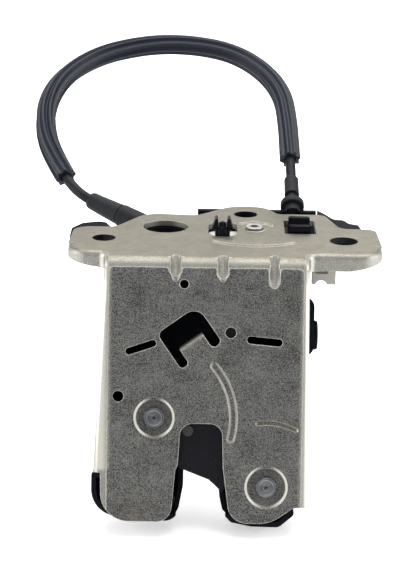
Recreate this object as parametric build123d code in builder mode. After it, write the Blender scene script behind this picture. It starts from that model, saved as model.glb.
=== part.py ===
from build123d import *
from math import atan2, cos, degrees, hypot, pi, radians, sin, sqrt, tan
import os

# Boot lid latch. Origin midway between the two ear holes, on the top face of the flange.
# +X points right as seen from the front, +Y to the rear, +Z up. Millimetres and degrees.

# Sheet metal
sheet = 2.2                   # thickness of the latch plate
bend_outer = 4.7              # outside radius of the bend between flange and face
side_bend = 2.1               # outside radius of the bends to the side flanges and the lips
lean = 15.0                   # lean of the face out of square to the flange
front = 24.4                  # from the ear holes' line forward to the sharp front corner
face_height = 93.4            # from the sharp corner down the face to the leg ends
ear_front = 17.0              # from the ear holes' line forward to the lips of the ears
ear_corner = 9.5              # radius of the ears' front corners, which the lips follow
lip = 6.3                     # depth of the turned-down lips
lip_tip = 3.9                 # depth of the lips at their outer ends
lip_end = 6.0                 # from the ear holes' line forward to where a lip ends
side_depth = 19.0             # depth of the side flanges behind the face
emboss_depth = 0.7            # depth of the pressed rings round the rivets
bead_depth = 0.8              # depth of the pressed stiffening beads

# Fixing holes and openings of the flange
ear_span = 87.2               # between the centres of the two ear holes
left_ear_radius = 4.2
right_ear_radius = 5.1
rear_hole = (8.4, 34.1)
rear_hole_radius = 4.4
key_hole = (-21.6, 16.0)
key_hole_radius = 8.35
clip_slot = (-0.3, 13.6)
clip_slot_length = 20.2
clip_slot_width = 10.8
hook_window = (28.2, 17.7)
hook_window_size = (11.5, 18.5)

# Pivots on the face, across and up from the sharp corner
fork_pivot = (-23.8, -56.3)
pawl_pivot = (16.1, -80.4)
release_pivot = (2.8, -25.9)
wheel_centre = (3.0, -40.0)
rivet_head_radius = 3.55
fork_ring_radius = 7.25
pawl_ring_radius = 7.65

# Striker mouth of the plate and of the mouldings behind it
mouth_left = -15.2
mouth_right = 0.5
mouth_top = -58.2
throat_left = -13.4
throat_right = -0.8
striker = 9.0                 # diameter of the striker that the fork takes

# Reach of the fork
hook_radius = 32.6            # from the fork's pivot to the outer edge of its hook
leg_foot = fork_pivot[1] - hook_radius - 4.7
sweep_foot = fork_pivot[1] - hook_radius - 2.4

# Depths behind the outer surface of the face
fork_front = 3.4
core_thickness = 5.0          # steel core of the fork and of the pawl
jacket_skin = 0.8             # plastic over each side of a core
fork_back = fork_front + core_thickness + 2 * jacket_skin
floor_front = 15.2
floor_thickness = 2.0
back_plate_thickness = 2.0
back_front = floor_front + floor_thickness
back_rear = back_front + back_plate_thickness
running = 0.3                 # gap kept between parts that move past each other
pin_fit = 0.05                # radial clearance of a pivot in its bore
wall = 1.8                    # wall of the black mouldings

# Rivets and pins
rivet_neck = 2.4              # radius of the face rivets in the plate
release_pin_radius = 1.9
lever_rivet_hole = 1.9
lever_rivet_head = 3.3
lever_rivet_rise = 0.9
rivet_pad_radius = 4.3        # pressed pad of the flange under the lever rivet's head
rivet_pad_rise = 0.3

# Drive
motor_radius = 8.5
gear_floor = 1.8
motor_room = 1.5              # from the floor of the gear housing to the motor can
gear_axis_depth = back_rear + gear_floor + motor_room + motor_radius

# Moving range
fork_travel = 58.0
pawl_travel = 14.0
release_travel = 14.1

# Cable
casing_radius = 2.0
sleeve_radius = 4.3
boot_radius = 3.6
cable_fit = 0.15              # radial clearance of the sleeve and the boots on the casing

os.makedirs("parts", exist_ok=True)

face = Plane(
    origin=(0, -front, 0),
    x_dir=(1, 0, 0),
    z_dir=(0, -cos(radians(lean)), sin(radians(lean))),
)
lever_rivet_at = (11.3, 14.0)


def behind(depth):
    """The plane parallel to the face, this deep behind its outer surface."""
    return face.offset(-depth)


def polar(centre, radius, angle):
    """A point at this radius and angle from a centre, in the face's own plane."""
    return (centre[0] + radius * cos(radians(angle)), centre[1] + radius * sin(radians(angle)))


def turned(point, centre, angle):
    """A point turned about a centre, in the face's own plane."""
    across = point[0] - centre[0]
    up = point[1] - centre[1]
    return polar(centre, hypot(across, up), degrees(atan2(up, across)) + angle)


def rounded(corners):
    """A closed outline with its corners given as (across, up, radius)."""
    points = [(corner[0], corner[1]) for corner in corners]
    FilletPolyline(*points, radius=[corner[2] for corner in corners], close=True)


# Latch plate: one sheet with the flange, the leaning face and the turned-back sides
left_side_top = -42.2
left_side_foot = -45.1
left_side_end = -76.0
right_side_top = 30.3
right_side_foot = 31.0
right_side_end = -87.4
side_start = -4.0             # where the turned-back sides begin, below the front bend
flange_outline = [
    (left_side_top, -34.0, 0.4),
    (left_side_top, -ear_front, 3.0),
    (-56.5, -ear_front, ear_corner),
    (-55.2, 14.3, 6.0),
    (-40.2, 14.6, 5.0),
    (-29.2, 33.7, 9.0),
    (-9.9, 31.9, 5.0),
    (2.8, 45.2, 9.0),
    (15.8, 45.2, 8.0),
    (20.6, 35.0, 3.0),
    (38.2, 35.0, 4.5),
    (43.2, 16.0, 4.5),
    (56.3, 16.0, 3.8),
    (57.3, -ear_front, ear_corner),
    (right_side_top, -ear_front, 3.0),
    (right_side_top, -34.0, 0.4),
]
face_outline = [
    (left_side_top, 6.0, 0.4),
    (left_side_top, side_start, 3.0),
    (left_side_foot, left_side_end, 0.4),
    (-42.6, left_side_end, 0.4),
    (-42.2, -93.2, 10.0),
    (-17.6, -93.2, 5.5),
    (-16.1, -74.9, 0.5),
    (mouth_left, -72.6, 1.0),
    (-14.4, mouth_top, 4.5),
    (0.3, mouth_top, 4.5),
    (0.7, -73.5, 2.0),
    (3.4, -face_height, 7.0),
    (17.5, -face_height, 13.0),
    (25.8, right_side_end - 0.3, 2.0),
    (right_side_foot, right_side_end, 1.5),
    (right_side_top, side_start, 3.0),
    (right_side_top, 6.0, 0.4),
]
window_centre = (-11.4, -28.9)
window_tilt = 35.2
window_outline = [
    (-8.4, 8.7, 2.6),
    (8.9, 8.7, 4.6),
    (8.9, -6.8, 1.9),
    (4.9, -6.8, 1.9),
    (4.9, 0.0, 0.4),
    (-4.9, 0.0, 0.4),
    (-4.9, -6.6, 1.6),
    (-8.4, -6.6, 1.6),
]
tab_half_width = 4.7
tab_depth = 8.0
pilot_hole = (-13.8, -9.0)
pilot_hole_radius = 1.6
peg_hole = (-36.6, -48.9)
peg_hole_radius = 1.95
gusset_places = [(-16.9, 2.2, 4.0), (-0.3, 2.2, 4.0), (17.9, 2.9, 5.7)]   # across, back, down
groove_radius = 1.8
groove_run_out = 4.0
rib_radius = 3.0
long_bead = CenterArc(fork_pivot, 28.0, -14.8, 56.3)
long_bead_width = 3.0
short_bead = CenterArc(pawl_pivot, 22.8, 63.2, 35.2)
short_bead_width = 1.6
wide_rib = CenterArc(lever_rivet_at, 21.5, -131.0, 78.0)
wide_rib_width = 4.0
small_rib = CenterArc(lever_rivet_at, 8.0, 35.0, 95.0)
small_rib_width = 1.8


def cut_peg_slots():
    """The two long slots of the face, one each side of the window."""
    with Locations((-28.8, -31.5)):
        SlotOverall(11.4, 2.5, rotation=19)
    with Locations((14.8, -28.8)):
        SlotOverall(12.6, 2.7, rotation=-5)


# Ears: the flange's corner plates with lips turned down round their front corners
bend_run = bend_outer * tan(radians(45 - lean / 2))
ear_start = bend_run - front
lip_start = ear_start - 2.2
cap_width = 24.0
with BuildPart() as ears:
    for inner, way in ((left_side_top, -1), (right_side_top, 1)):
        inner_side = inner - way * 2 * side_bend
        with BuildSketch(Plane.XY):
            with BuildLine():
                rounded(flange_outline)
            make_face()
            with Locations((inner_side + way * cap_width, (ear_start - lip_end) / 2)):
                Rectangle(2 * cap_width, -lip_end - ear_start, mode=Mode.INTERSECT)
        extrude(amount=-sheet)
        with BuildSketch(Plane.XY.offset(-sheet)):
            with BuildLine():
                rounded(flange_outline)
            plain = make_face()
            offset(plain, amount=-sheet, mode=Mode.SUBTRACT)
            with Locations((inner_side + way * cap_width, (lip_start - lip_end) / 2)):
                Rectangle(2 * cap_width, -lip_end - lip_start, mode=Mode.INTERSECT)
        extrude(amount=sheet - lip)
    # The lips grow shallower towards their outer ends
    with BuildSketch(Plane.XZ.offset(lip_end - 1)):
        with BuildLine():
            Polyline((left_side_top, -lip), (-60, 0.3 - lip_tip), (-60, -lip - 2), (left_side_top, -lip - 2), close=True)
        make_face()
        with BuildLine():
            Polyline((45.0, -lip), (60, 0.3 - lip_tip), (60, -lip - 2), (45.0, -lip - 2), close=True)
        make_face()
    extrude(amount=20, mode=Mode.SUBTRACT)
    for corner in ((-56.5 + 2.8, -ear_front + 2.8, 0), (57.3 - 2.8, -ear_front + 2.8, 0)):
        fillet(ears.edges().sort_by_distance(corner)[0], side_bend)

with BuildPart() as latch_plate:
    with BuildSketch(Plane.YZ.offset(-58)):
        with BuildLine():
            inside_drop = sheet * tan(radians(lean))
            inside_front = -front + sheet / cos(radians(lean)) - inside_drop
            foot_y = -front - 96.0 * sin(radians(lean))
            foot_z = -96.0 * cos(radians(lean))
            Polyline(
                (48.0, 0),
                (-front, 0),
                (foot_y, foot_z),
                (foot_y + sheet * cos(radians(lean)), foot_z - sheet * sin(radians(lean))),
                (inside_front, -sheet),
                (48.0, -sheet),
                close=True,
            )
        make_face()
    extrude(amount=117)
    across = latch_plate.edges().filter_by(Axis.X)
    fillet(across.sort_by_distance((0, -front, 0))[0], bend_outer)
    across = latch_plate.edges().filter_by(Axis.X)
    fillet(across.sort_by_distance((0, inside_front, -sheet))[0], bend_outer - sheet)
    # The flange's outline
    with BuildSketch(Plane.XY.offset(1)):
        Rectangle(260, 260)
        with BuildLine():
            rounded(flange_outline)
        make_face(mode=Mode.SUBTRACT)
    extrude(amount=-(sheet + 1.5), mode=Mode.SUBTRACT)
    # The face's outline
    with BuildSketch(face.offset(1)):
        with Locations((0, -55)):
            Rectangle(160, 116)
        with BuildLine():
            rounded(face_outline)
        make_face(mode=Mode.SUBTRACT)
    extrude(amount=-(sheet + 2.5), mode=Mode.SUBTRACT)
    # The ears, in place of the flange's plain corners
    with BuildSketch(Plane.XY.offset(1)):
        for inner, way in ((left_side_top, -1), (right_side_top, 1)):
            with Locations((inner + way * (cap_width - 2 * side_bend), (ear_start - lip_end) / 2)):
                Rectangle(2 * cap_width, -lip_end - ear_start)
    extrude(amount=-(sheet + 1.5), mode=Mode.SUBTRACT)
    add(ears.part)
    # The turned-back sides
    with BuildSketch(behind(sheet / 2)):
        with BuildLine():
            Polyline(
                (left_side_top, side_start),
                (left_side_foot, left_side_end),
                (left_side_foot + sheet, left_side_end),
                (left_side_top + sheet, side_start),
                close=True,
            )
        make_face()
        with BuildLine():
            Polyline(
                (right_side_top, side_start),
                (right_side_foot, right_side_end),
                (right_side_foot - sheet, right_side_end),
                (right_side_top - sheet, side_start),
                close=True,
            )
        make_face()
    extrude(amount=-(side_depth - sheet / 2))
    # The bends between the face and the sides: the square corner is cut back to a round one
    for foot, end, start, inward in (
        (left_side_foot, left_side_end, left_side_top, 1),
        (right_side_foot, right_side_end, right_side_top, -1),
    ):
        low = face.from_local_coords((foot, end, 0))
        high = face.from_local_coords((start, side_start, 0))
        corner = Plane(origin=low, x_dir=face.z_dir * -1, z_dir=high - low)
        side = 1 if corner.y_dir.X * inward > 0 else -1
        with BuildSketch(corner):
            with Locations((0, side * side_bend / 2)):
                Rectangle(side_bend, side_bend, align=(Align.MIN, Align.CENTER))
            with Locations((side_bend, side * side_bend)):
                Circle(side_bend, mode=Mode.SUBTRACT)
        extrude(amount=(high - low).length, mode=Mode.SUBTRACT)
        # The same rounding goes on over the front bend
        bend_axis = Axis((0, ear_start, -bend_outer), (1, 0, 0))
        with BuildSketch(Plane(origin=(start, ear_start, 0), x_dir=(1, 0, 0), z_dir=(0, -1, 0))):
            with Locations((inward * side_bend / 2, -side_bend / 2)):
                Rectangle(side_bend, side_bend)
            with Locations((inward * side_bend, -side_bend)):
                Circle(side_bend, mode=Mode.SUBTRACT)
        revolve(axis=bend_axis, revolution_arc=90 - lean, mode=Mode.SUBTRACT)
    # Fixing holes and openings of the flange
    with BuildSketch(Plane.XY.offset(1)):
        with Locations((-ear_span / 2, 0)):
            Circle(left_ear_radius)
        with Locations((ear_span / 2, 0)):
            Circle(right_ear_radius)
        with Locations(rear_hole):
            Circle(rear_hole_radius)
        with Locations(key_hole):
            Circle(key_hole_radius)
        with Locations(clip_slot):
            SlotOverall(clip_slot_length, clip_slot_width, rotation=90)
        with Locations(hook_window):
            Rectangle(*hook_window_size)
        with Locations(lever_rivet_at):
            Circle(lever_rivet_hole)
    extrude(amount=-(sheet + 2), mode=Mode.SUBTRACT)
    # Openings of the face
    with BuildSketch(face.offset(1)):
        with Locations(pilot_hole):
            Circle(pilot_hole_radius)
        with Locations(release_pivot, peg_hole):
            Circle(peg_hole_radius)
        cut_peg_slots()
        with Locations(fork_pivot, pawl_pivot):
            Circle(rivet_neck)
    extrude(amount=-(sheet + 2), mode=Mode.SUBTRACT)
    window_plane = Plane(
        origin=face.from_local_coords((*window_centre, 1)),
        x_dir=face.x_dir.rotate(Axis((0, 0, 0), face.z_dir), window_tilt),
        z_dir=face.z_dir,
    )
    with BuildSketch(window_plane):
        with BuildLine():
            rounded(window_outline)
        make_face()
    extrude(amount=-(sheet + 2), mode=Mode.SUBTRACT)
    # The tab that was bent inwards out of the window
    with BuildSketch(window_plane.offset(-1)):
        with Locations((0, -sheet / 2)):
            Rectangle(2 * tab_half_width, sheet)
    extrude(amount=-tab_depth)
    tab_edge = window_plane.from_local_coords((0, 0, -1))
    fillet(latch_plate.edges().sort_by_distance(tab_edge)[0], sheet - 0.2)
    # Pressed rings round the two rivets of the face
    for pivot, radius in ((fork_pivot, fork_ring_radius), (pawl_pivot, pawl_ring_radius)):
        with BuildSketch(face):
            with Locations(pivot):
                Circle(radius)
        extrude(amount=-emboss_depth, taper=50, mode=Mode.SUBTRACT)
        with BuildSketch(behind(sheet)):
            with Locations(pivot):
                Circle(radius - 0.6)
                Circle(rivet_neck, mode=Mode.SUBTRACT)
        extrude(amount=-emboss_depth, taper=35)
    # Pressed beads: one round each pivot on the face, two round the lever rivet on the flange
    for arc, width in ((long_bead, long_bead_width), (short_bead, short_bead_width)):
        with BuildSketch(face):
            SlotArc(arc, width)
        extrude(amount=-bead_depth, taper=42, mode=Mode.SUBTRACT)
        with BuildSketch(behind(sheet)):
            SlotArc(arc, width)
        extrude(amount=-bead_depth, taper=30)
    for arc, width in ((wide_rib, wide_rib_width), (small_rib, small_rib_width)):
        with BuildSketch(Plane.XY):
            SlotArc(arc, width)
        extrude(amount=bead_depth, taper=35)
        with BuildSketch(Plane.XY.offset(-sheet)):
            SlotArc(arc, width - 1)
        extrude(amount=bead_depth, taper=35, mode=Mode.SUBTRACT)
    # Pressed pad that carries the head of the lever rivet
    with BuildSketch(Plane.XY):
        with Locations(lever_rivet_at):
            Circle(rivet_pad_radius)
            Circle(lever_rivet_hole, mode=Mode.SUBTRACT)
    extrude(amount=rivet_pad_rise)
    # Gussets pressed into the front bend: a rib inside, a groove outside
    for gusset_x, gusset_back, gusset_down in gusset_places:
        upper = Vector(gusset_x, gusset_back - front, 0)
        lower = face.from_local_coords((gusset_x, -gusset_down, 0))
        along = Plane(origin=upper, x_dir=(1, 0, 0), z_dir=lower - upper)
        length = (lower - upper).length
        inward = 180 if along.y_dir.Y > 0 else 0
        with BuildSketch(along):
            Circle(rib_radius)
            Rectangle(
                3 * rib_radius,
                2 * rib_radius,
                rotation=inward,
                align=(Align.CENTER, Align.MIN),
                mode=Mode.SUBTRACT,
            )
        extrude(amount=length)
        with BuildSketch(along.offset(-groove_run_out)):
            Circle(groove_radius)
        extrude(amount=length + 2 * groove_run_out, mode=Mode.SUBTRACT)
latch_plate.part.label = "latch_plate"
export_step(latch_plate.part, "parts/latch_plate.step")


# Riveted pivots of the face: a head in front, a barrel for the moving part, a tail behind
rivet_rise = 0.9              # height of a rivet head above the face
fork_barrel = 5.0
pawl_barrel = 4.0
boss_back = sheet + emboss_depth
tail_rise = 1.3
dimple_radius = 0.9
head_edge = 0.4

with BuildPart() as fork_rivet:
    for near, far, radius in (
        (-rivet_rise, emboss_depth, rivet_head_radius),
        (emboss_depth, boss_back, rivet_neck),
        (boss_back, back_front, fork_barrel),
        (back_front, back_rear, rivet_neck),
        (back_rear, back_rear + tail_rise, rivet_head_radius),
    ):
        with BuildSketch(behind(near)):
            with Locations(fork_pivot):
                Circle(radius)
        extrude(amount=near - far)
    head_rim = fork_rivet.edges().filter_by(GeomType.CIRCLE).sort_by(Axis((0, 0, 0), face.z_dir))[-1]
    fillet(head_rim, head_edge)
    with BuildSketch(behind(-rivet_rise)):
        with Locations(fork_pivot):
            Circle(dimple_radius)
    extrude(amount=-0.4, mode=Mode.SUBTRACT)
fork_rivet.part.label = "fork_rivet"
export_step(fork_rivet.part, "parts/fork_rivet.step")

with BuildPart() as pawl_rivet:
    for near, far, radius in (
        (-rivet_rise, emboss_depth, rivet_head_radius),
        (emboss_depth, boss_back, rivet_neck),
        (boss_back, back_front, pawl_barrel),
        (back_front, back_rear, rivet_neck),
        (back_rear, back_rear + tail_rise, rivet_head_radius),
    ):
        with BuildSketch(behind(near)):
            with Locations(pawl_pivot):
                Circle(radius)
        extrude(amount=near - far)
    head_rim = pawl_rivet.edges().filter_by(GeomType.CIRCLE).sort_by(Axis((0, 0, 0), face.z_dir))[-1]
    fillet(head_rim, head_edge)
    with BuildSketch(behind(-rivet_rise)):
        with Locations(pawl_pivot):
            Circle(dimple_radius)
    extrude(amount=-0.4, mode=Mode.SUBTRACT)
pawl_rivet.part.label = "pawl_rivet"
export_step(pawl_rivet.part, "parts/pawl_rivet.step")

pin_front = 1.2               # the pin's end shows in its hole of the face
with BuildPart() as release_lever_pin:
    with BuildSketch(behind(pin_front)):
        with Locations(release_pivot):
            Circle(release_pin_radius)
    extrude(amount=pin_front - back_rear)
release_lever_pin.part.label = "release_lever_pin"
export_step(release_lever_pin.part, "parts/release_lever_pin.step")

# Housing: a black tray between the latch plate and the back plate
housing_front = 2.3
housing_outline = [
    (-40.0, -6.2, 2.0),
    (-42.65, -76.3, 0.4),
    (-45.8, -76.5, 0.8),
    (-45.8, leg_foot + 2.6, 9.5),
    (-15.5, leg_foot, 5.0),
    (-14.6, leg_foot + 5.2, 0.8),
    (throat_left, -82.0, 1.0),
    (-13.2, -59.8, 3.0),
    (-1.0, -59.8, 3.0),
    (throat_right, -79.7, 1.0),
    (-0.3, -85.6, 1.0),
    (0.8, -90.2, 1.5),
    (3.8, -93.4, 2.0),
    (11.0, -94.8, 3.0),
    (20.8, -95.0, 3.0),
    (26.3, -90.4, 2.0),
    (25.9, -87.8, 0.4),
    (28.5, -87.4, 0.4),
    (27.9, -6.2, 2.0),
]
follower_reach = 17.0
follower_radius = 2.0
follower_rest = -52.7
follower_slot = CenterArc(release_pivot, follower_reach, follower_rest, -release_travel)
follower_slot_width = 2 * (follower_radius + 2 * running)
with BuildPart() as latch_housing:
    with BuildSketch(behind(housing_front)):
        with BuildLine():
            rounded(housing_outline)
        make_face()
    extrude(amount=housing_front - back_front)
    # The hollow
    with BuildSketch(behind(housing_front)):
        with BuildLine():
            rounded(housing_outline)
        make_face()
        offset(amount=-wall)
    extrude(amount=housing_front - floor_front, mode=Mode.SUBTRACT)
    # The fork sweeps across the throat, and the pawl's foot swings out to the right
    with BuildSketch(behind(housing_front)):
        with Locations((mouth_left - 2.8, mouth_top + 0.5)):
            sweep_across = mouth_right - mouth_left + 5.3
            Rectangle(sweep_across, mouth_top + 0.5 - sweep_foot, align=(Align.MIN, Align.MAX))
    extrude(amount=housing_front - fork_back - running, mode=Mode.SUBTRACT)
    with BuildSketch(behind(housing_front)):
        with Locations((27.0, -46.5)):
            Rectangle(4, 14)
    extrude(amount=housing_front - floor_front, mode=Mode.SUBTRACT)
    # Room for the end of the short bead
    with BuildSketch(behind(housing_front)):
        with Locations((27.0, -60.0)):
            Rectangle(5, 8)
    extrude(amount=-bead_depth, mode=Mode.SUBTRACT)
    # Holes of the floor
    with BuildSketch(behind(floor_front)):
        with Locations(fork_pivot):
            Circle(fork_barrel)
        with Locations(pawl_pivot):
            Circle(pawl_barrel)
        with Locations(release_pivot):
            Circle(release_pin_radius)
        SlotArc(follower_slot, follower_slot_width)
    extrude(amount=-floor_thickness, mode=Mode.SUBTRACT)
    # Seat walls of the switch
    with BuildSketch(behind(fork_front)):
        with Locations((-31.5, -38.8), (-16.1, -38.8)):
            Rectangle(1.6, 6.5)
    extrude(amount=fork_front - floor_front)
latch_housing.part.label = "latch_housing"
export_step(latch_housing.part, "parts/latch_housing.step")

back_outline = [
    (-33.0, -12.0, 4.0),
    (-36.0, -66.0, 9.0),
    (-15.6, -70.0, 3.0),
    (-15.0, -57.5, 3.0),
    (1.0, -57.5, 3.0),
    (2.8, -90.0, 6.0),
    (25.2, -90.0, 8.0),
    (26.4, -12.0, 4.0),
]
with BuildPart() as back_plate:
    with BuildSketch(behind(back_front)):
        with BuildLine():
            rounded(back_outline)
        make_face()
        with Locations(fork_pivot, pawl_pivot):
            Circle(rivet_neck, mode=Mode.SUBTRACT)
        with Locations(release_pivot):
            Circle(release_pin_radius, mode=Mode.SUBTRACT)
        SlotArc(follower_slot, follower_slot_width, mode=Mode.SUBTRACT)
    extrude(amount=-back_plate_thickness)
back_plate.part.label = "back_plate"
export_step(back_plate.part, "parts/back_plate.step")

# Fork, drawn open: the slot takes the striker, the tooth rests on the pawl
slot_angle = -21.0
slot_upper = 13.7             # from the pivot down to the upper edge of the slot
slot_width = striker + 1.5
slot_lower = slot_upper + slot_width
slot_root = 5.5               # where the round root of the slot starts
hook_lip = 2.3                # from the hook's outer edge in to the corner of its slot
tooth_swing = 30.8            # radius of the tooth's face about the pawl's pivot, fork closed
sector_radius = 29.0
hub_radius = 11.0
heel_radius = 16.8
tab_radius = 12.3


def in_fork(along, down):
    """A point along the slot and down from the fork's pivot, the fork open."""
    start = polar(fork_pivot, down, slot_angle - 90)
    return polar(start, along, slot_angle)


tooth_start = turned((5.3, -51.5), fork_pivot, -fork_travel)
tooth_tip = turned((11.8, -49.9), fork_pivot, -fork_travel)
tooth_centre = turned(pawl_pivot, fork_pivot, -fork_travel)
tooth_across = (tooth_start[0] + tooth_tip[0]) / 2 - tooth_centre[0]
tooth_up = (tooth_start[1] + tooth_tip[1]) / 2 - tooth_centre[1]
tooth_middle = polar(tooth_centre, tooth_swing, degrees(atan2(tooth_up, tooth_across)))
root_centre = in_fork(slot_root, slot_upper + slot_width / 2)
with BuildSketch() as fork_shape:
    with BuildLine():
        upper_root = in_fork(slot_root, slot_upper)
        lower_root = in_fork(slot_root, slot_lower)
        root_bottom = polar(root_centre, slot_width / 2, slot_angle + 180)
        hook_tip = in_fork(sqrt((hook_radius - hook_lip) ** 2 - slot_lower**2), slot_lower)
        Line(upper_root, tooth_start)
        ThreePointArc(tooth_start, tooth_middle, tooth_tip)
        shoulder = polar(fork_pivot, 35.0, -34.0)
        sector_start = polar(fork_pivot, sector_radius, -32.5)
        sector_end = polar(fork_pivot, sector_radius, -3.0)
        hub_right = polar(fork_pivot, hub_radius, -3.0)
        Line(tooth_tip, shoulder)
        Line(shoulder, sector_start)
        ThreePointArc(sector_start, polar(fork_pivot, sector_radius, -18.0), sector_end)
        Line(sector_end, hub_right)
        tab_start = polar(fork_pivot, hub_radius, 18.0)
        tab_top = polar(fork_pivot, tab_radius, 32.0)
        tab_end = polar(fork_pivot, hub_radius, 46.0)
        ThreePointArc(hub_right, polar(fork_pivot, hub_radius, 8.0), tab_start)
        ThreePointArc(tab_start, tab_top, tab_end)
        hub_left = polar(fork_pivot, hub_radius, -160.0)
        ThreePointArc(tab_end, polar(fork_pivot, hub_radius, 120.0), hub_left)
        heel_top = polar(fork_pivot, heel_radius, -160.0)
        heel_low = polar(fork_pivot, 24.0, -132.0)
        hook_back = polar(fork_pivot, hook_radius, -112.0)
        hook_nose = polar(fork_pivot, hook_radius, -78.5)
        Line(hub_left, heel_top)
        Line(heel_top, heel_low)
        Line(heel_low, hook_back)
        ThreePointArc(hook_back, polar(fork_pivot, hook_radius, -95.0), hook_nose)
        Line(hook_nose, hook_tip)
        Line(hook_tip, lower_root)
        ThreePointArc(lower_root, root_bottom, upper_root)
    make_face()
    fillet(fork_shape.vertices().sort_by_distance((*hook_tip, 0))[0], 1.6)
    fillet(fork_shape.vertices().sort_by_distance((*hook_nose, 0))[0], 1.2)
    fillet(fork_shape.vertices().sort_by_distance((*shoulder, 0))[0], 0.8)
    fillet(fork_shape.vertices().sort_by_distance((*tooth_tip, 0))[0], 0.5)
    fillet(fork_shape.vertices().sort_by_distance((*sector_end, 0))[0], 2.0)
    fillet(fork_shape.vertices().sort_by_distance((*hub_right, 0))[0], 2.5)
    fillet(fork_shape.vertices().sort_by_distance((*heel_top, 0))[0], 1.0)
    fillet(fork_shape.vertices().sort_by_distance((*heel_low, 0))[0], 3.0)
    fillet(fork_shape.vertices().sort_by_distance((*hook_back, 0))[0], 3.0)

core_front = fork_front + jacket_skin
with BuildSketch() as fork_core_shape:
    add(offset(fork_shape.sketch, amount=-1.0, mode=Mode.PRIVATE))
    with Locations(tooth_middle):
        Circle(6.0)
    add(fork_shape.sketch, mode=Mode.INTERSECT)
with BuildPart() as fork_core:
    with BuildSketch(behind(core_front)):
        add(fork_core_shape.sketch)
        with Locations(fork_pivot):
            Circle(fork_barrel + pin_fit, mode=Mode.SUBTRACT)
    extrude(amount=-core_thickness)
fork_core.part.label = "fork_core"
export_step(fork_core.part, "parts/fork_core.step")

with BuildPart() as fork_jacket:
    with BuildSketch(behind(fork_front)):
        add(fork_shape.sketch)
        with Locations(fork_pivot):
            Circle(fork_barrel + pin_fit, mode=Mode.SUBTRACT)
    extrude(amount=fork_front - fork_back)
    with BuildSketch(behind(core_front)):
        add(fork_core_shape.sketch)
    extrude(amount=-core_thickness, mode=Mode.SUBTRACT)
    with BuildSketch(behind(fork_front)):
        with Locations((-11.9, -61.1)):
            Circle(1.95)
    extrude(amount=0.4)
fork_jacket.part.label = "fork_jacket"
export_step(fork_jacket.part, "parts/fork_jacket.step")

# Pawl, drawn lifted
pawl_rest = 84.5              # direction of the pawl's centre line, lifted
pawl_boss = 8.0
nose_radius = 30.5
pawl_left = 4.8
foot_left = 1.3
foot_right = 6.9
foot_top = 37.2
stub_radius = 2.0
stub_place = (4.5, 34.4)
stub_rear = 14.6


def in_pawl(right, out):
    """A point right of the pawl's centre line and out from its pivot, the pawl lifted."""
    start = polar(pawl_pivot, out, pawl_rest)
    return polar(start, right, pawl_rest - 90)


nose_left_out = sqrt(nose_radius**2 - pawl_left**2)
nose_right_out = sqrt(nose_radius**2 - foot_left**2)
with BuildSketch() as pawl_shape:
    with BuildLine():
        nose_left = in_pawl(-pawl_left, nose_left_out)
        nose_right = in_pawl(foot_left, nose_right_out)
        ThreePointArc(nose_left, polar(pawl_pivot, nose_radius, pawl_rest + 3.0), nose_right)
        Polyline(
            nose_right,
            in_pawl(foot_left, foot_top),
            in_pawl(foot_right, foot_top),
            in_pawl(foot_right, 31.0),
            in_pawl(3.2, 25.0),
            in_pawl(3.6, 0),
            in_pawl(-pawl_left, 0),
            nose_left,
        )
    make_face()
    with Locations(pawl_pivot):
        Circle(pawl_boss)
    fillet(pawl_shape.vertices().sort_by_distance((*in_pawl(foot_left, foot_top), 0))[0], 1.5)
    fillet(pawl_shape.vertices().sort_by_distance((*in_pawl(foot_right, foot_top), 0))[0], 2.2)
    fillet(pawl_shape.vertices().sort_by_distance((*in_pawl(foot_right, 31.0), 0))[0], 3.0)
    fillet(pawl_shape.vertices().sort_by_distance((*nose_left, 0))[0], 0.5)

with BuildSketch() as pawl_core_shape:
    add(offset(pawl_shape.sketch, amount=-1.0, mode=Mode.PRIVATE))
    with Locations(in_pawl(-1.5, 30.5)):
        Rectangle(9.5, 8.0)
    add(pawl_shape.sketch, mode=Mode.INTERSECT)
with BuildPart() as pawl_core:
    with BuildSketch(behind(core_front)):
        add(pawl_core_shape.sketch)
        with Locations(pawl_pivot):
            Circle(pawl_barrel + pin_fit, mode=Mode.SUBTRACT)
    extrude(amount=-core_thickness)
    with BuildSketch(behind(core_front)):
        with Locations(in_pawl(*stub_place)):
            Circle(stub_radius)
    extrude(amount=core_front - stub_rear)
pawl_core.part.label = "pawl_core"
export_step(pawl_core.part, "parts/pawl_core.step")

with BuildPart() as pawl_jacket:
    with BuildSketch(behind(fork_front)):
        add(pawl_shape.sketch)
        with Locations(pawl_pivot):
            Circle(pawl_barrel + pin_fit, mode=Mode.SUBTRACT)
    extrude(amount=fork_front - fork_back)
    with BuildSketch(behind(core_front)):
        add(pawl_core_shape.sketch)
    extrude(amount=-core_thickness, mode=Mode.SUBTRACT)
    with BuildSketch(behind(core_front)):
        with Locations(in_pawl(*stub_place)):
            Circle(stub_radius)
    extrude(amount=core_front - stub_rear, mode=Mode.SUBTRACT)
pawl_jacket.part.label = "pawl_jacket"
export_step(pawl_jacket.part, "parts/pawl_jacket.step")

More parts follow.
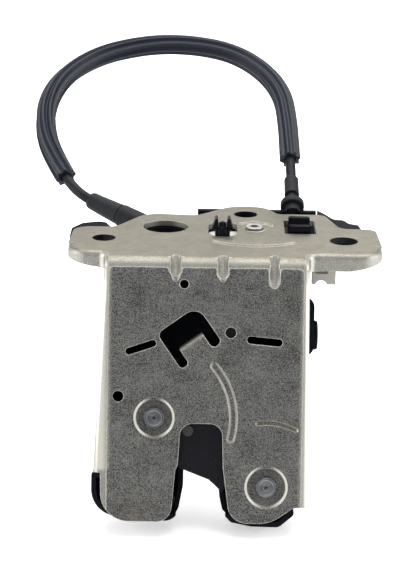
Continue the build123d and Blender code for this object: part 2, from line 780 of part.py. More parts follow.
# Release lever, drawn at the lifted end: its right flank pushes the pawl's stub aside
lift_flank = -48.8
lever_front = 10.8
lever_back = 13.8
lever_hub = 5.0
with BuildPart() as release_lever:
    with BuildSketch(behind(lever_front)):
        with BuildLine():
            Polyline(
                polar(release_pivot, 1.0, lift_flank),
                polar(release_pivot, 31.0, lift_flank),
                polar(release_pivot, 31.4, lift_flank - 7.0),
                polar(release_pivot, 20.0, lift_flank - 14.0),
                polar(release_pivot, 8.0, lift_flank - 46.0),
                polar(release_pivot, 4.0, lift_flank - 100.0),
                close=True,
            )
        make_face()
        with Locations(release_pivot):
            Circle(lever_hub)
            Circle(release_pin_radius + pin_fit, mode=Mode.SUBTRACT)
        with Locations(polar(release_pivot, follower_reach, follower_rest)):
            Circle(follower_radius, mode=Mode.SUBTRACT)
    extrude(amount=lever_front - lever_back)
release_lever.part.label = "release_lever"
export_step(release_lever.part, "parts/release_lever.step")

follower_rear = 25.6
with BuildPart() as lever_follower:
    with BuildSketch(behind(lever_front)):
        with Locations(polar(release_pivot, follower_reach, follower_rest)):
            Circle(follower_radius)
    extrude(amount=lever_front - follower_rear)
lever_follower.part.label = "lever_follower"
export_step(lever_follower.part, "parts/lever_follower.step")

# Release wheel: a worm wheel with a spiral cam in front of its teeth
wheel_teeth = 24
module = 1.0
wheel_pitch_radius = wheel_teeth * module / 2
tooth_root = wheel_pitch_radius - 1.25 * module
tooth_tip_radius = wheel_pitch_radius + 0.8 * module
wheel_turn = 150.0
teeth_front = 29.0
teeth_back = 33.0
cam_front = 21.6
cam_back = 26.4
axle_radius = 2.5
cam_rest_angle = 3.4          # direction of the follower from the wheel's centre at rest
cam_rest_radius = 7.8
cam_home_angle = -13.0
cam_home_radius = 4.35


def cam_point(share):
    """A point of the spiral, from the follower at rest to the follower at home."""
    angle = cam_rest_angle + share * (cam_home_angle - cam_rest_angle - wheel_turn)
    return polar(wheel_centre, cam_rest_radius + share * (cam_home_radius - cam_rest_radius), angle)


with BuildPart() as release_wheel:
    with BuildSketch(behind(cam_front)):
        with BuildLine():
            spiral = Spline(*[cam_point(share) for share in (0, 0.2, 0.4, 0.6, 0.8, 1.0)])
            low_end = polar(wheel_centre, cam_home_radius, -200.0)
            top_end = polar(wheel_centre, cam_rest_radius, 35.0)
            ThreePointArc(spiral @ 1, polar(wheel_centre, cam_home_radius, -181.0), low_end)
            Spline(low_end, polar(wheel_centre, 5.9, -265.0), top_end)
            ThreePointArc(top_end, polar(wheel_centre, cam_rest_radius, 19.0), spiral @ 0)
        make_face()
    extrude(amount=cam_front - cam_back)
    with BuildSketch(behind(cam_back)):
        with Locations(wheel_centre):
            Circle(7.0)
    extrude(amount=cam_back - teeth_back - 2)
    with BuildSketch(behind(teeth_front)):
        with Locations(wheel_centre):
            Circle(tooth_root)
        with Locations(wheel_centre):
            with PolarLocations(tooth_root - 0.3, wheel_teeth):
                Trapezoid(
                    2.0,
                    tooth_tip_radius - tooth_root + 0.3,
                    76,
                    rotation=-90,
                    align=(Align.CENTER, Align.MIN),
                )
    extrude(amount=teeth_front - teeth_back)
    with BuildSketch(behind(cam_front)):
        with Locations(wheel_centre):
            Circle(axle_radius + pin_fit)
    extrude(amount=cam_front - teeth_back - 2, mode=Mode.SUBTRACT)
release_wheel.part.label = "release_wheel"
export_step(release_wheel.part, "parts/release_wheel.step")

# Gear housing behind the back plate, with the motor across its top and the wheel below
gear_back = 43.0
cover_thickness = 2.0
worm_x = wheel_centre[0]
worm_pitch_radius = 3.5
worm_drop = wheel_centre[1] + wheel_pitch_radius + worm_pitch_radius
worm_axis = Plane(
    origin=face.from_local_coords((0, worm_drop, -gear_axis_depth)),
    x_dir=(0, -sin(radians(lean)), -cos(radians(lean))),
    z_dir=(1, 0, 0),
)
gear_outline = [
    (-13.2, -13.7, 3.0),
    (-13.2, -56.2, 15.0),
    (19.2, -56.2, 15.0),
    (19.2, -35.6, 3.0),
    (33.2, -35.6, 4.0),
    (33.2, -13.7, 4.0),
]
screw_places = [(-8.9, -17.6), (25.6, -37.4), (18.6, -51.0), (-15.4, -42.0)]
screw_shank = 1.4
screw_head = 2.9
screw_length = 14.0
boss_radius = 3.3
bulge_drop = -28.6
bulge_radius = 5.4
with BuildPart() as gear_housing:
    with BuildSketch(behind(back_rear)):
        with BuildLine():
            rounded(gear_outline)
        make_face()
        with Locations(*screw_places[1:]):
            Circle(boss_radius)
    extrude(amount=back_rear - gear_back)
    with BuildSketch(behind(back_rear + gear_floor)):
        with BuildLine():
            rounded(gear_outline)
        make_face()
        offset(amount=-wall)
        with Locations(*screw_places):
            Circle(boss_radius, mode=Mode.SUBTRACT)
    extrude(amount=back_rear + gear_floor - gear_back, mode=Mode.SUBTRACT)
    # Bearing block of the motor shaft
    with BuildSketch(behind(back_rear)):
        with Locations((-10.2, worm_drop)):
            Rectangle(3.0, 9.0)
    extrude(amount=back_rear - gear_axis_depth - 4)
    with BuildSketch(worm_axis.offset(-11.6)):
        Circle(1.0 + pin_fit)
    extrude(amount=3.0, mode=Mode.SUBTRACT)
    with BuildSketch(behind(back_rear)):
        SlotArc(follower_slot, follower_slot_width)
        with Locations(wheel_centre):
            Circle(axle_radius)
    extrude(amount=-gear_floor, mode=Mode.SUBTRACT)
    with BuildSketch(behind(gear_back)):
        with Locations(*screw_places):
            Circle(screw_shank)
    extrude(amount=screw_length - cover_thickness, mode=Mode.SUBTRACT)
    # Dished boss on the right wall
    bulge = Plane(
        origin=face.from_local_coords((33.0, bulge_drop, -gear_axis_depth)),
        x_dir=worm_axis.x_dir,
        z_dir=(1, 0, 0),
    )
    with BuildSketch(bulge):
        Circle(bulge_radius)
    extrude(amount=2.0)
    fillet(gear_housing.edges().filter_by(GeomType.CIRCLE).sort_by(Axis.X)[-1], 0.8)
    with BuildSketch(bulge.offset(2.0)):
        Circle(3.2)
    extrude(amount=-0.9, taper=20, mode=Mode.SUBTRACT)
gear_housing.part.label = "gear_housing"
export_step(gear_housing.part, "parts/gear_housing.step")

with BuildPart() as gearbox_cover:
    with BuildSketch(behind(gear_back)):
        with BuildLine():
            rounded(gear_outline)
        make_face()
        with Locations(*screw_places[1:]):
            Circle(boss_radius)
        with Locations(*screw_places):
            Circle(screw_shank + 0.1, mode=Mode.SUBTRACT)
    extrude(amount=-cover_thickness)
    # Raised ribs round the wheel and over the motor
    with BuildSketch(behind(gear_back + cover_thickness)):
        with Locations(wheel_centre):
            Circle(9.0)
            Circle(7.6, mode=Mode.SUBTRACT)
        with Locations((12.0, -19.5), (12.0, -24.5), (12.0, -29.5)):
            SlotOverall(24.0, 1.4)
    extrude(amount=-0.6)
gearbox_cover.part.label = "gearbox_cover"
export_step(gearbox_cover.part, "parts/gearbox_cover.step")

with BuildPart() as cover_screws:
    with BuildSketch(behind(gear_back + cover_thickness + 1.8)):
        with Locations(*screw_places):
            Circle(screw_head)
    extrude(amount=1.8)
    with BuildSketch(behind(gear_back + cover_thickness)):
        with Locations(*screw_places):
            Circle(screw_shank)
    extrude(amount=screw_length)
    with BuildSketch(behind(gear_back + cover_thickness + 1.8)):
        with Locations(*screw_places):
            Rectangle(3.2, 0.8)
            Rectangle(0.8, 3.2)
    extrude(amount=1.0, mode=Mode.SUBTRACT)
cover_screws.part.label = "cover_screws"
export_step(cover_screws.part, "parts/cover_screws.step")

with BuildPart() as wheel_axle:
    with BuildSketch(behind(back_rear)):
        with Locations(wheel_centre):
            Circle(axle_radius)
    extrude(amount=back_rear - gear_back)
wheel_axle.part.label = "wheel_axle"
export_step(wheel_axle.part, "parts/wheel_axle.step")

# Motor lying across the top of the gear housing
motor_start = 14.6
motor_end = 28.2
cap_end = 31.0
shaft_radius = 1.0
bearing_radius = 3.0
with BuildPart() as motor_can:
    with BuildSketch(worm_axis.offset(motor_start)):
        Circle(motor_radius)
    extrude(amount=motor_end - motor_start)
    fillet(motor_can.edges().filter_by(GeomType.CIRCLE).sort_by(Axis.X)[0], 1.2)
    with BuildSketch(worm_axis.offset(motor_start - 1.2)):
        Circle(bearing_radius)
    extrude(amount=1.2)
    with BuildSketch(worm_axis.offset(motor_start - 1.2)):
        Circle(shaft_radius + pin_fit)
    extrude(amount=5.0, mode=Mode.SUBTRACT)
motor_can.part.label = "motor_can"
export_step(motor_can.part, "parts/motor_can.step")

with BuildPart() as motor_end_cap:
    with BuildSketch(worm_axis.offset(motor_end)):
        Circle(motor_radius)
    extrude(amount=2.0)
    with BuildSketch(worm_axis.offset(motor_end + 2.0)):
        Circle(4.0)
    extrude(amount=cap_end - motor_end - 2.0)
motor_end_cap.part.label = "motor_end_cap"
export_step(motor_end_cap.part, "parts/motor_end_cap.step")

with BuildPart() as motor_terminals:
    with BuildSketch(worm_axis.offset(motor_end + 2.0)):
        with Locations((-5.8, 0), (5.8, 0)):
            Rectangle(0.6, 2.4)
    extrude(amount=1.0)
motor_terminals.part.label = "motor_terminals"
export_step(motor_terminals.part, "parts/motor_terminals.step")

worm_start = -4.4
worm_end = 10.2
worm_root = 2.2
worm_tip = 4.3
with BuildPart() as motor_shaft:
    with BuildSketch(worm_axis.offset(-11.0)):
        Circle(shaft_radius)
    extrude(amount=motor_start + 2.0 + 11.0)
motor_shaft.part.label = "motor_shaft"
export_step(motor_shaft.part, "parts/motor_shaft.step")

worm_pitch = pi * module
thread_phase = 165.0          # turn of the thread from its start to the side that faces the wheel
thread_start = worm_x - worm_pitch * (1.5 + thread_phase / 360)
thread_turns = 3.8
with BuildPart() as worm:
    with BuildSketch(worm_axis.offset(worm_start)):
        Circle(worm_root)
    extrude(amount=worm_end - worm_start)
    with BuildLine():
        thread_line = Helix(
            pitch=worm_pitch,
            height=worm_pitch * thread_turns,
            radius=worm_root,
            center=worm_axis.offset(thread_start).origin,
            direction=worm_axis.z_dir,
        )
    with BuildSketch(Plane(origin=thread_line @ 0, x_dir=worm_axis.z_dir, z_dir=thread_line % 0)):
        Trapezoid(2.1, 2 * (worm_tip - worm_root), 80)
    sweep(is_frenet=True)
    with BuildSketch(worm_axis.offset(worm_start)):
        Circle(shaft_radius)
    extrude(amount=worm_end - worm_start, mode=Mode.SUBTRACT)
worm.part.label = "worm"
export_step(worm.part, "parts/worm.step")

# Micro switch above the fork, with its plunger over the fork's lobe
switch_left = -30.2
switch_right = -17.4
switch_top = -35.6
switch_foot = -42.0
switch_back = 10.5
plunger_radius = 0.8
plunger_x = -23.8
plunger_tip = -43.6
plunger_depth = 6.7
with BuildPart() as switch_case:
    with BuildSketch(behind(4.0)):
        with Locations(((switch_left + switch_right) / 2, (switch_top + switch_foot) / 2)):
            Rectangle(switch_right - switch_left, switch_top - switch_foot)
    extrude(amount=4.0 - switch_back)
    chamfer(switch_case.edges().filter_by(Axis((0, 0, 0), face.z_dir)), 0.5)
    bore = Plane(
        origin=face.from_local_coords((plunger_x, switch_foot, -plunger_depth)),
        x_dir=(1, 0, 0),
        z_dir=face.y_dir,
    )
    with BuildSketch(bore):
        Circle(plunger_radius + pin_fit)
    extrude(amount=4.5, mode=Mode.SUBTRACT)
switch_case.part.label = "switch_case"
export_step(switch_case.part, "parts/switch_case.step")

with BuildPart() as switch_plunger:
    with BuildSketch(bore.offset(plunger_tip - switch_foot)):
        Circle(plunger_radius)
    extrude(amount=switch_foot - plunger_tip + 2.8)
switch_plunger.part.label = "switch_plunger"
export_step(switch_plunger.part, "parts/switch_plunger.step")

with BuildPart() as switch_terminals:
    with BuildSketch(bore.offset(switch_top - switch_foot)):
        with Locations((-4.4, 0), (0, 0), (4.4, 0)):
            Rectangle(1.2, 0.6)
    extrude(amount=3.6)
switch_terminals.part.label = "switch_terminals"
export_step(switch_terminals.part, "parts/switch_terminals.step")

# Rubber stop above the fork's heel
with BuildPart() as fork_buffer:
    with BuildSketch(behind(fork_front)):
        with BuildLine():
            heel_gap = 0.35
            buffer_low = polar(polar(fork_pivot, 12.6, -160.0), heel_gap, 110.0)
            buffer_far = polar(polar(fork_pivot, 16.5, -160.0), heel_gap, 110.0)
            Polyline(
                buffer_low,
                buffer_far,
                (buffer_far[0] - 0.4, buffer_far[1] + 5.0),
                polar(buffer_low, 4.6, 105.0),
                close=True,
            )
        make_face()
    extrude(amount=fork_front - floor_front)
fork_buffer.part.label = "fork_buffer"
export_step(fork_buffer.part, "parts/fork_buffer.step")

# Torsion springs round the pivots
spring_front = 10.7
with BuildPart() as fork_spring:
    with BuildLine():
        fork_coil = Helix(
            pitch=1.35,
            height=1.35 * 2.25,
            radius=6.3,
            center=behind(spring_front + 0.6).from_local_coords((*fork_pivot, 0)),
            direction=face.z_dir * -1,
        )
    with BuildSketch(Plane(origin=fork_coil @ 0, z_dir=fork_coil % 0)):
        Circle(0.6)
    sweep(is_frenet=True)
fork_spring.part.label = "fork_spring"
export_step(fork_spring.part, "parts/fork_spring.step")

with BuildPart() as pawl_spring:
    with BuildLine():
        pawl_coil = Helix(
            pitch=1.1,
            height=1.1 * 2.75,
            radius=5.0,
            center=behind(spring_front + 0.5).from_local_coords((*pawl_pivot, 0)),
            direction=face.z_dir * -1,
        )
    with BuildSketch(Plane(origin=pawl_coil @ 0, z_dir=pawl_coil % 0)):
        Circle(0.5)
    sweep(is_frenet=True)
pawl_spring.part.label = "pawl_spring"
export_step(pawl_spring.part, "parts/pawl_spring.step")

with BuildPart() as lever_spring:
    with BuildLine():
        lever_coil = Helix(
            pitch=0.9,
            height=0.9 * 3.75,
            radius=2.8,
            center=behind(6.0).from_local_coords((*release_pivot, 0)),
            direction=face.z_dir * -1,
        )
    with BuildSketch(Plane(origin=lever_coil @ 0, z_dir=lever_coil % 0)):
        Circle(0.35)
    sweep(is_frenet=True)
lever_spring.part.label = "lever_spring"
export_step(lever_spring.part, "parts/lever_spring.step")

# Route of the release cable: straight runs joined by arcs, from the collar on the left to the ring
route = [
    Vector(-33.2, 40.6, -5.8),
    Vector(-46.4, 49.2, -2.3),
    Vector(-58.2, 55.6, 2.2),
    Vector(-66.3, 70.8, 9.4),
    Vector(-72.3, 85.9, 16.9),
    Vector(-73.7, 104.1, 26.0),
    Vector(-68.0, 120.9, 34.4),
    Vector(-54.3, 134.2, 41.0),
    Vector(-37.3, 140.8, 44.2),
    Vector(-22.0, 142.6, 45.2),
    Vector(-5.5, 140.6, 44.1),
    Vector(7.0, 135.2, 41.4),
    Vector(17.8, 124.8, 36.2),
    Vector(24.4, 111.5, 29.7),
    Vector(26.0, 95.5, 21.6),
    Vector(26.4, 81.0, 14.1),
    Vector(26.7, 71.5, 8.7),
    Vector(26.9, 62.6, 2.9),
    Vector(26.9, 54.45, -0.92),
]


def bend(place):
    """The largest smooth radius at this corner of the route."""
    into = route[place] - route[place - 1]
    out = route[place + 1] - route[place]
    return 0.45 * min(into.length, out.length) / tan(radians(into.get_angle(out)) / 2)


bends = [bend(place) for place in range(1, len(route) - 1)]
print("bend radii", [round(radius, 1) for radius in bends])


def middle(run):
    """The middle of a run, which is always straight."""
    return (route[run] + route[run + 1]) * 0.5


collar_radius = 4.4
collar_back = 9.0             # how far the collar reaches past the casing's blind end
collar_half = (route[1] - route[0]).length / 2

# Carrier under the flange: deck, neck down to the gear housing, arm to the left, wing to the right
clearance_under = 0.4         # from the underside of the flange to the carrier's top
carrier_top = -sheet - clearance_under
deck_top = -7.5
deck_thickness = 2.2
arm_bottom = -8.0
collar_outer = 10.2
collar_inner = 7.9
collar_bottom = -13.0
rim_front = 48.0
rim_back = 50.8
rim_bottom = -14.0
ring_x = 26.9
neck_notch_z = -3.3
notch_radius = 3.2
arm_outline = [
    (-57.0, 10.0, 1.5),
    (-57.0, 22.5, 2.0),
    (-53.3, 29.6, 2.5),
    (-47.4, 31.9, 2.0),
    (-44.7, 30.9, 2.0),
    (-41.9, 23.5, 3.0),
    (-36.0, 22.0, 3.0),
    (-31.0, 37.6, 2.0),
    (-19.6, 37.6, 2.0),
    (-10.5, 24.0, 4.0),
    (-10.5, 9.0, 2.0),
]
deck_outline = [
    (-12.0, -3.0, 2.0),
    (-12.0, rim_back, 2.0),
    (36.6, rim_back, 1.0),
    (39.3, 45.5, 1.0),
    (41.7, 39.2, 1.0),
    (43.1, 37.9, 0.6),
    (45.8, 37.4, 1.0),
    (47.8, 32.6, 1.0),
    (51.1, 30.7, 1.0),
    (52.1, 22.5, 1.5),
    (36.0, 22.5, 3.0),
    (28.0, 8.0, 4.0),
    (28.0, -3.0, 2.0),
]
wing_bottom = -16.0
socket_centre = (26.6, -9.3)  # rear and up
socket_width = 6.2
socket_height = 10.4
socket_floor = 40.1
socket_mouth = 50.9
socket_wall = 0.8
with BuildPart() as carrier:
    with BuildSketch(Plane.XY.offset(deck_top)):
        with BuildLine():
            rounded(deck_outline)
        make_face()
    extrude(amount=-deck_thickness)
    # Rear rim
    with BuildSketch(Plane.XY.offset(carrier_top)):
        with Locations((13.0, (rim_front + rim_back) / 2)):
            Rectangle(46.0, rim_back - rim_front)
    extrude(amount=rim_bottom - carrier_top)
    # Wing on the right that holds the connector
    with BuildSketch(Plane.XY.offset(carrier_top)):
        with BuildLine():
            rounded(deck_outline)
        make_face()
        with Locations((5.0, 20.0)):
            Rectangle(63.0, 100.0, mode=Mode.SUBTRACT)
    extrude(amount=wing_bottom - carrier_top)
    # Arm on the left and the block that takes the cable's collar
    with BuildSketch(Plane.XY.offset(carrier_top - 0.4)):
        with BuildLine():
            rounded(arm_outline)
        make_face()
    extrude(amount=arm_bottom - carrier_top + 0.4)
    with BuildSketch(Plane.XY.offset(carrier_top - 0.4)):
        with Locations((-25.3, 32.0)):
            Rectangle(11.4, 11.2)
    extrude(amount=-10.4)
    # Ring under the big hole, with a bar across it
    with BuildSketch(Plane.XY.offset(carrier_top)):
        with Locations(key_hole):
            Circle(collar_outer)
    extrude(amount=collar_bottom - carrier_top)
    with BuildSketch(Plane.XY.offset(carrier_top)):
        with Locations(key_hole):
            Circle(collar_inner)
            Rectangle(2 * collar_outer, 3.4, mode=Mode.SUBTRACT)
    extrude(amount=collar_bottom + 2.0 - carrier_top, mode=Mode.SUBTRACT)
    with BuildSketch(Plane.XY.offset(carrier_top)):
        with Locations(key_hole):
            Circle(collar_inner)
    extrude(amount=-3.0, mode=Mode.SUBTRACT)
    # Neck
    with BuildSketch(Plane.XY.offset(deck_top)):
        with Locations((7.4, 4.5)):
            Rectangle(36.0, 13.0)
            Rectangle(31.0, 8.0, mode=Mode.SUBTRACT)
    extrude(amount=-22.0)
    with BuildSketch(behind(0)):
        with Locations((0, gear_outline[0][1])):
            Rectangle(160, 80, align=(Align.CENTER, Align.MAX))
    extrude(amount=-80, mode=Mode.SUBTRACT)
    # Notch of the rim for the cable's end, and the hollow of the wing
    with BuildSketch(Plane.XZ.offset(-rim_front + 1)):
        with Locations((ring_x, neck_notch_z)):
            Circle(notch_radius)
            Rectangle(2 * notch_radius, 6, align=(Align.CENTER, Align.MIN))
    extrude(amount=-5, mode=Mode.SUBTRACT)
    # Snap hooks up through the window of the flange
    for hook_y in (12.4, 23.2):
        with BuildSketch(Plane.XY.offset(deck_top)):
            with Locations((hook_window[0], hook_y)):
                Rectangle(8.0, 2.2)
        extrude(amount=2.2 - deck_top)
        with BuildSketch(Plane.XY.offset(0.3)):
            with Locations((hook_window[0], hook_y + (0.6 if hook_y > hook_window[1] else -0.6))):
                Rectangle(8.0, 3.4)
        extrude(amount=1.9, taper=18)
    # Seat of the cable's collar
    with BuildSketch(Plane(origin=middle(0), z_dir=route[0] - route[1])):
        Circle(collar_radius)
    extrude(amount=collar_half + collar_back, mode=Mode.SUBTRACT)
    # Cavity of the connector
    with BuildSketch(Plane.YZ.offset(socket_floor)):
        with Locations(socket_centre):
            Rectangle(socket_width, socket_height)
    extrude(amount=16, mode=Mode.SUBTRACT)
carrier.part.label = "carrier"
export_step(carrier.part, "parts/carrier.step")

# Connector in the wing, its mouth to the right
with BuildPart() as connector_socket:
    with BuildSketch(Plane.YZ.offset(socket_floor)):
        with Locations(socket_centre):
            Rectangle(socket_width, socket_height)
    extrude(amount=socket_mouth - socket_floor)
    with BuildSketch(Plane.YZ.offset(socket_floor + 2.0)):
        with Locations(socket_centre):
            Rectangle(socket_width - 2 * socket_wall, socket_height - 2 * socket_wall)
    extrude(amount=socket_mouth - socket_floor, mode=Mode.SUBTRACT)
    with BuildSketch(Plane.YZ.offset(socket_floor)):
        with Locations(socket_centre):
            with GridLocations(2.0, 2.2, 1, 4):
                Rectangle(0.7, 0.7)
    extrude(amount=2.0, mode=Mode.SUBTRACT)
connector_socket.part.label = "connector_socket"
export_step(connector_socket.part, "parts/connector_socket.step")

with BuildPart() as connector_pins:
    with BuildSketch(Plane.YZ.offset(socket_floor)):
        with Locations(socket_centre):
            with GridLocations(2.0, 2.2, 1, 4):
                Rectangle(0.7, 0.7)
    extrude(amount=6.0)
connector_pins.part.label = "connector_pins"
export_step(connector_pins.part, "parts/connector_pins.step")

# White bell crank under the flange, with the clip that stands up through the slot
crank_top = -2.7
crank_bottom = -5.7
crank_hub = 7.0
crank_barrel = 3.0
clip_centre = (-0.5, 8.3)
clip_width = 5.6
clip_depth = 5.8
clip_height = 6.8
nipple_at = (21.5, 30.0)
nipple_radius = 1.7
nipple_boss = 3.4
prong_front = -2.0
prong_thickness = 3.0
with BuildPart() as bell_crank:
    with BuildSketch(Plane.XY.offset(crank_top)):
        with Locations(lever_rivet_at):
            Circle(crank_hub)
        with BuildLine():
            rounded([(11.3, 20.4, 1.0), (-5.4, 19.4, 2.5), (-6.2, 5.6, 2.0), (8.0, 7.4, 1.0)])
        make_face()
        with BuildLine():
            rounded([
                (13.0, 8.4, 1.0),
                (31.8, -3.2, 2.0),
                (41.0, -3.2, 1.5),
                (41.0, 2.0, 1.5),
                (33.0, 3.6, 2.0),
                (15.5, 15.2, 1.0),
            ])
        make_face()
        with BuildLine():
            rounded([(6.6, 17.0, 1.0), (17.6, 31.6, 0.5), (23.0, 28.9, 0.5), (14.6, 15.2, 1.0)])
        make_face()
        with Locations(nipple_at):
            Circle(nipple_boss)
            Circle(nipple_radius, mode=Mode.SUBTRACT)
        with Locations(lever_rivet_at):
            Circle(crank_barrel + pin_fit, mode=Mode.SUBTRACT)
        with Locations(clip_centre):
            Rectangle(clip_width, clip_depth, mode=Mode.SUBTRACT)
    extrude(amount=crank_bottom - crank_top)
    # The two prongs that reach down beside the face, joined by a bridge
    with BuildSketch(Plane.XZ.offset(-prong_front - prong_thickness)):
        with Locations((36.65, -9.5)):
            Rectangle(8.7, 13.0)
        with Locations((35.7, -9.0)):
            Rectangle(4.6, 5.8, mode=Mode.SUBTRACT)
        with Locations((35.7, -16.6)):
            Circle(2.2, mode=Mode.SUBTRACT)
    extrude(amount=prong_thickness)
bell_crank.part.label = "bell_crank"
export_step(bell_crank.part, "parts/bell_crank.step")

with BuildPart() as rod_clip:
    with BuildSketch(Plane.XY.offset(crank_bottom)):
        with Locations(clip_centre):
            Rectangle(clip_width, clip_depth)
    extrude(amount=-0.6 - crank_bottom)
    with BuildSketch(Plane.XZ.offset(-clip_centre[1] - clip_depth / 2)):
        with BuildLine():
            rounded([
                (-3.3, -1.0, 0.1),
                (-3.3, 2.6, 0.2),
                (-4.4, 3.0, 0.2),
                (-3.3, clip_height, 0.5),
                (-2.0, clip_height, 0.3),
                (-2.0, -1.0, 0.1),
            ])
        make_face()
        with BuildLine():
            rounded([
                (2.3, -1.0, 0.1),
                (2.3, 2.6, 0.2),
                (3.4, 3.0, 0.2),
                (2.3, clip_height, 0.5),
                (1.0, clip_height, 0.3),
                (1.0, -1.0, 0.1),
            ])
        make_face()
        with Locations((-0.5, 2.6)):
            Circle(1.2)
            Rectangle(2.4, 3.6, align=(Align.CENTER, Align.MAX))
    extrude(amount=clip_depth)
rod_clip.part.label = "rod_clip"
export_step(rod_clip.part, "parts/rod_clip.step")

with BuildPart() as wire_nipple:
    with BuildSketch(Plane.XY.offset(crank_top)):
        with Locations(nipple_at):
            Circle(nipple_radius)
    extrude(amount=-4.5)
wire_nipple.part.label = "wire_nipple"
export_step(wire_nipple.part, "parts/wire_nipple.step")

lever_rivet_top = rivet_pad_rise + lever_rivet_rise
with BuildPart() as lever_rivet:
    for top, bottom, radius in (
        (lever_rivet_top, rivet_pad_rise, lever_rivet_head),
        (rivet_pad_rise, -sheet, lever_rivet_hole),
        (-sheet, crank_bottom - running, crank_barrel),
        (crank_bottom - running, crank_bottom - running - 1.0, 4.6),
    ):
        with BuildSketch(Plane.XY.offset(top)):
            with Locations(lever_rivet_at):
                Circle(radius)
        extrude(amount=bottom - top)
    fillet(lever_rivet.edges().filter_by(GeomType.CIRCLE).sort_by(Axis.Z)[-1], head_edge)
    with BuildSketch(Plane.XY.offset(lever_rivet_top)):
        with Locations(lever_rivet_at):
            Circle(1.3)
    extrude(amount=-0.4, mode=Mode.SUBTRACT)
lever_rivet.part.label = "lever_rivet"
export_step(lever_rivet.part, "parts/lever_rivet.step")

# Release cable: casing, sleeve and boots along the route
with BuildPart() as cable_casing:
    with BuildLine():
        FilletPolyline(*route, radius=bends)
    with BuildSketch(Plane(origin=route[0], z_dir=route[1] - route[0])):
        Circle(casing_radius)
    sweep()
cable_casing.part.label = "cable_casing"
export_step(cable_casing.part, "parts/cable_casing.step")

sleeve_valley = 3.5           # radius of the sleeve between its ribs
sleeve_ribs = 8
rib_width = 1.5
sleeve_first = 2
sleeve_last = 15
with BuildPart() as cable_sleeve:
    with BuildLine():
        corners = route[sleeve_first + 1:sleeve_last + 1]
        sleeve_bends = bends[sleeve_first:sleeve_last]
        FilletPolyline(middle(sleeve_first), *corners, middle(sleeve_last), radius=sleeve_bends)
    sleeve_run = route[sleeve_first + 1] - route[sleeve_first]
    with BuildSketch(Plane(origin=middle(sleeve_first), z_dir=sleeve_run)):
        Circle(sleeve_valley)
        with PolarLocations(0, sleeve_ribs):
            Rectangle(sleeve_radius, rib_width, align=(Align.MIN, Align.CENTER))
        Circle(casing_radius + cable_fit, mode=Mode.SUBTRACT)
    sweep()
cable_sleeve.part.label = "cable_sleeve"
export_step(cable_sleeve.part, "parts/cable_sleeve.step")

with BuildPart() as left_boot:
    with BuildLine():
        FilletPolyline(middle(0), route[1], middle(1), radius=bends[0])
    with BuildSketch(Plane(origin=middle(0), z_dir=route[1] - route[0])):
        Circle(boot_radius)
        Circle(casing_radius + cable_fit, mode=Mode.SUBTRACT)
    sweep()
left_boot.part.label = "left_boot"
export_step(left_boot.part, "parts/left_boot.step")

with BuildPart() as left_collar:
    with BuildSketch(Plane(origin=middle(0), z_dir=route[0] - route[1])):
        Circle(collar_radius)
    extrude(amount=collar_half + collar_back)
    fillet(left_collar.edges().filter_by(GeomType.CIRCLE), 0.8)
    with BuildSketch(Plane(origin=middle(0), z_dir=route[0] - route[1])):
        Circle(casing_radius + cable_fit)
    extrude(amount=collar_half, mode=Mode.SUBTRACT)
left_collar.part.label = "left_collar"
export_step(left_collar.part, "parts/left_collar.step")

right_boot_radius = 2.9
last_run = len(route) - 2
with BuildPart() as right_boot:
    with BuildLine():
        FilletPolyline(middle(last_run - 1), route[last_run], middle(last_run), radius=bends[-1])
    boot_run = route[last_run] - route[last_run - 1]
    with BuildSketch(Plane(origin=middle(last_run - 1), z_dir=boot_run)):
        Circle(right_boot_radius)
        Circle(casing_radius + cable_fit, mode=Mode.SUBTRACT)
    sweep()
right_boot.part.label = "right_boot"
export_step(right_boot.part, "parts/right_boot.step")

ring_radius = 4.65
ring_thickness = 3.0
with BuildPart() as cable_ring:
    ring_plane = Plane(origin=route[-1], z_dir=route[-1] - route[-2])
    with BuildSketch(ring_plane):
        Circle(ring_radius)
    extrude(amount=ring_thickness)
    fillet(cable_ring.edges().filter_by(GeomType.CIRCLE), 0.6)
    with BuildSketch(ring_plane.offset(ring_thickness)):
        Circle(notch_radius - 0.2)
    extrude(amount=3.2)
    with BuildSketch(ring_plane.offset(ring_thickness + 3.2)):
        Circle(0.5)
    extrude(amount=-2.0, mode=Mode.SUBTRACT)
cable_ring.part.label = "cable_ring"
export_step(cable_ring.part, "parts/cable_ring.step")

wire_radius = 0.5
wire_start = ring_plane.from_local_coords((0, 0, ring_thickness + 3.2))
wire_end = Vector(nipple_at[0] + 0.5, nipple_at[1] + nipple_radius + 0.5, -6.5)
with BuildPart() as cable_wire:
    with BuildSketch(Plane(origin=wire_start, z_dir=wire_end - wire_start)):
        Circle(wire_radius)
    extrude(amount=(wire_end - wire_start).length)
cable_wire.part.label = "cable_wire"
export_step(cable_wire.part, "parts/cable_wire.step")
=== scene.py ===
from math import cos, exp, pi, radians, sin

import bmesh
import bpy
from bpy.props import FloatProperty, FloatVectorProperty, IntProperty, PointerProperty
from mathutils import Matrix, Vector


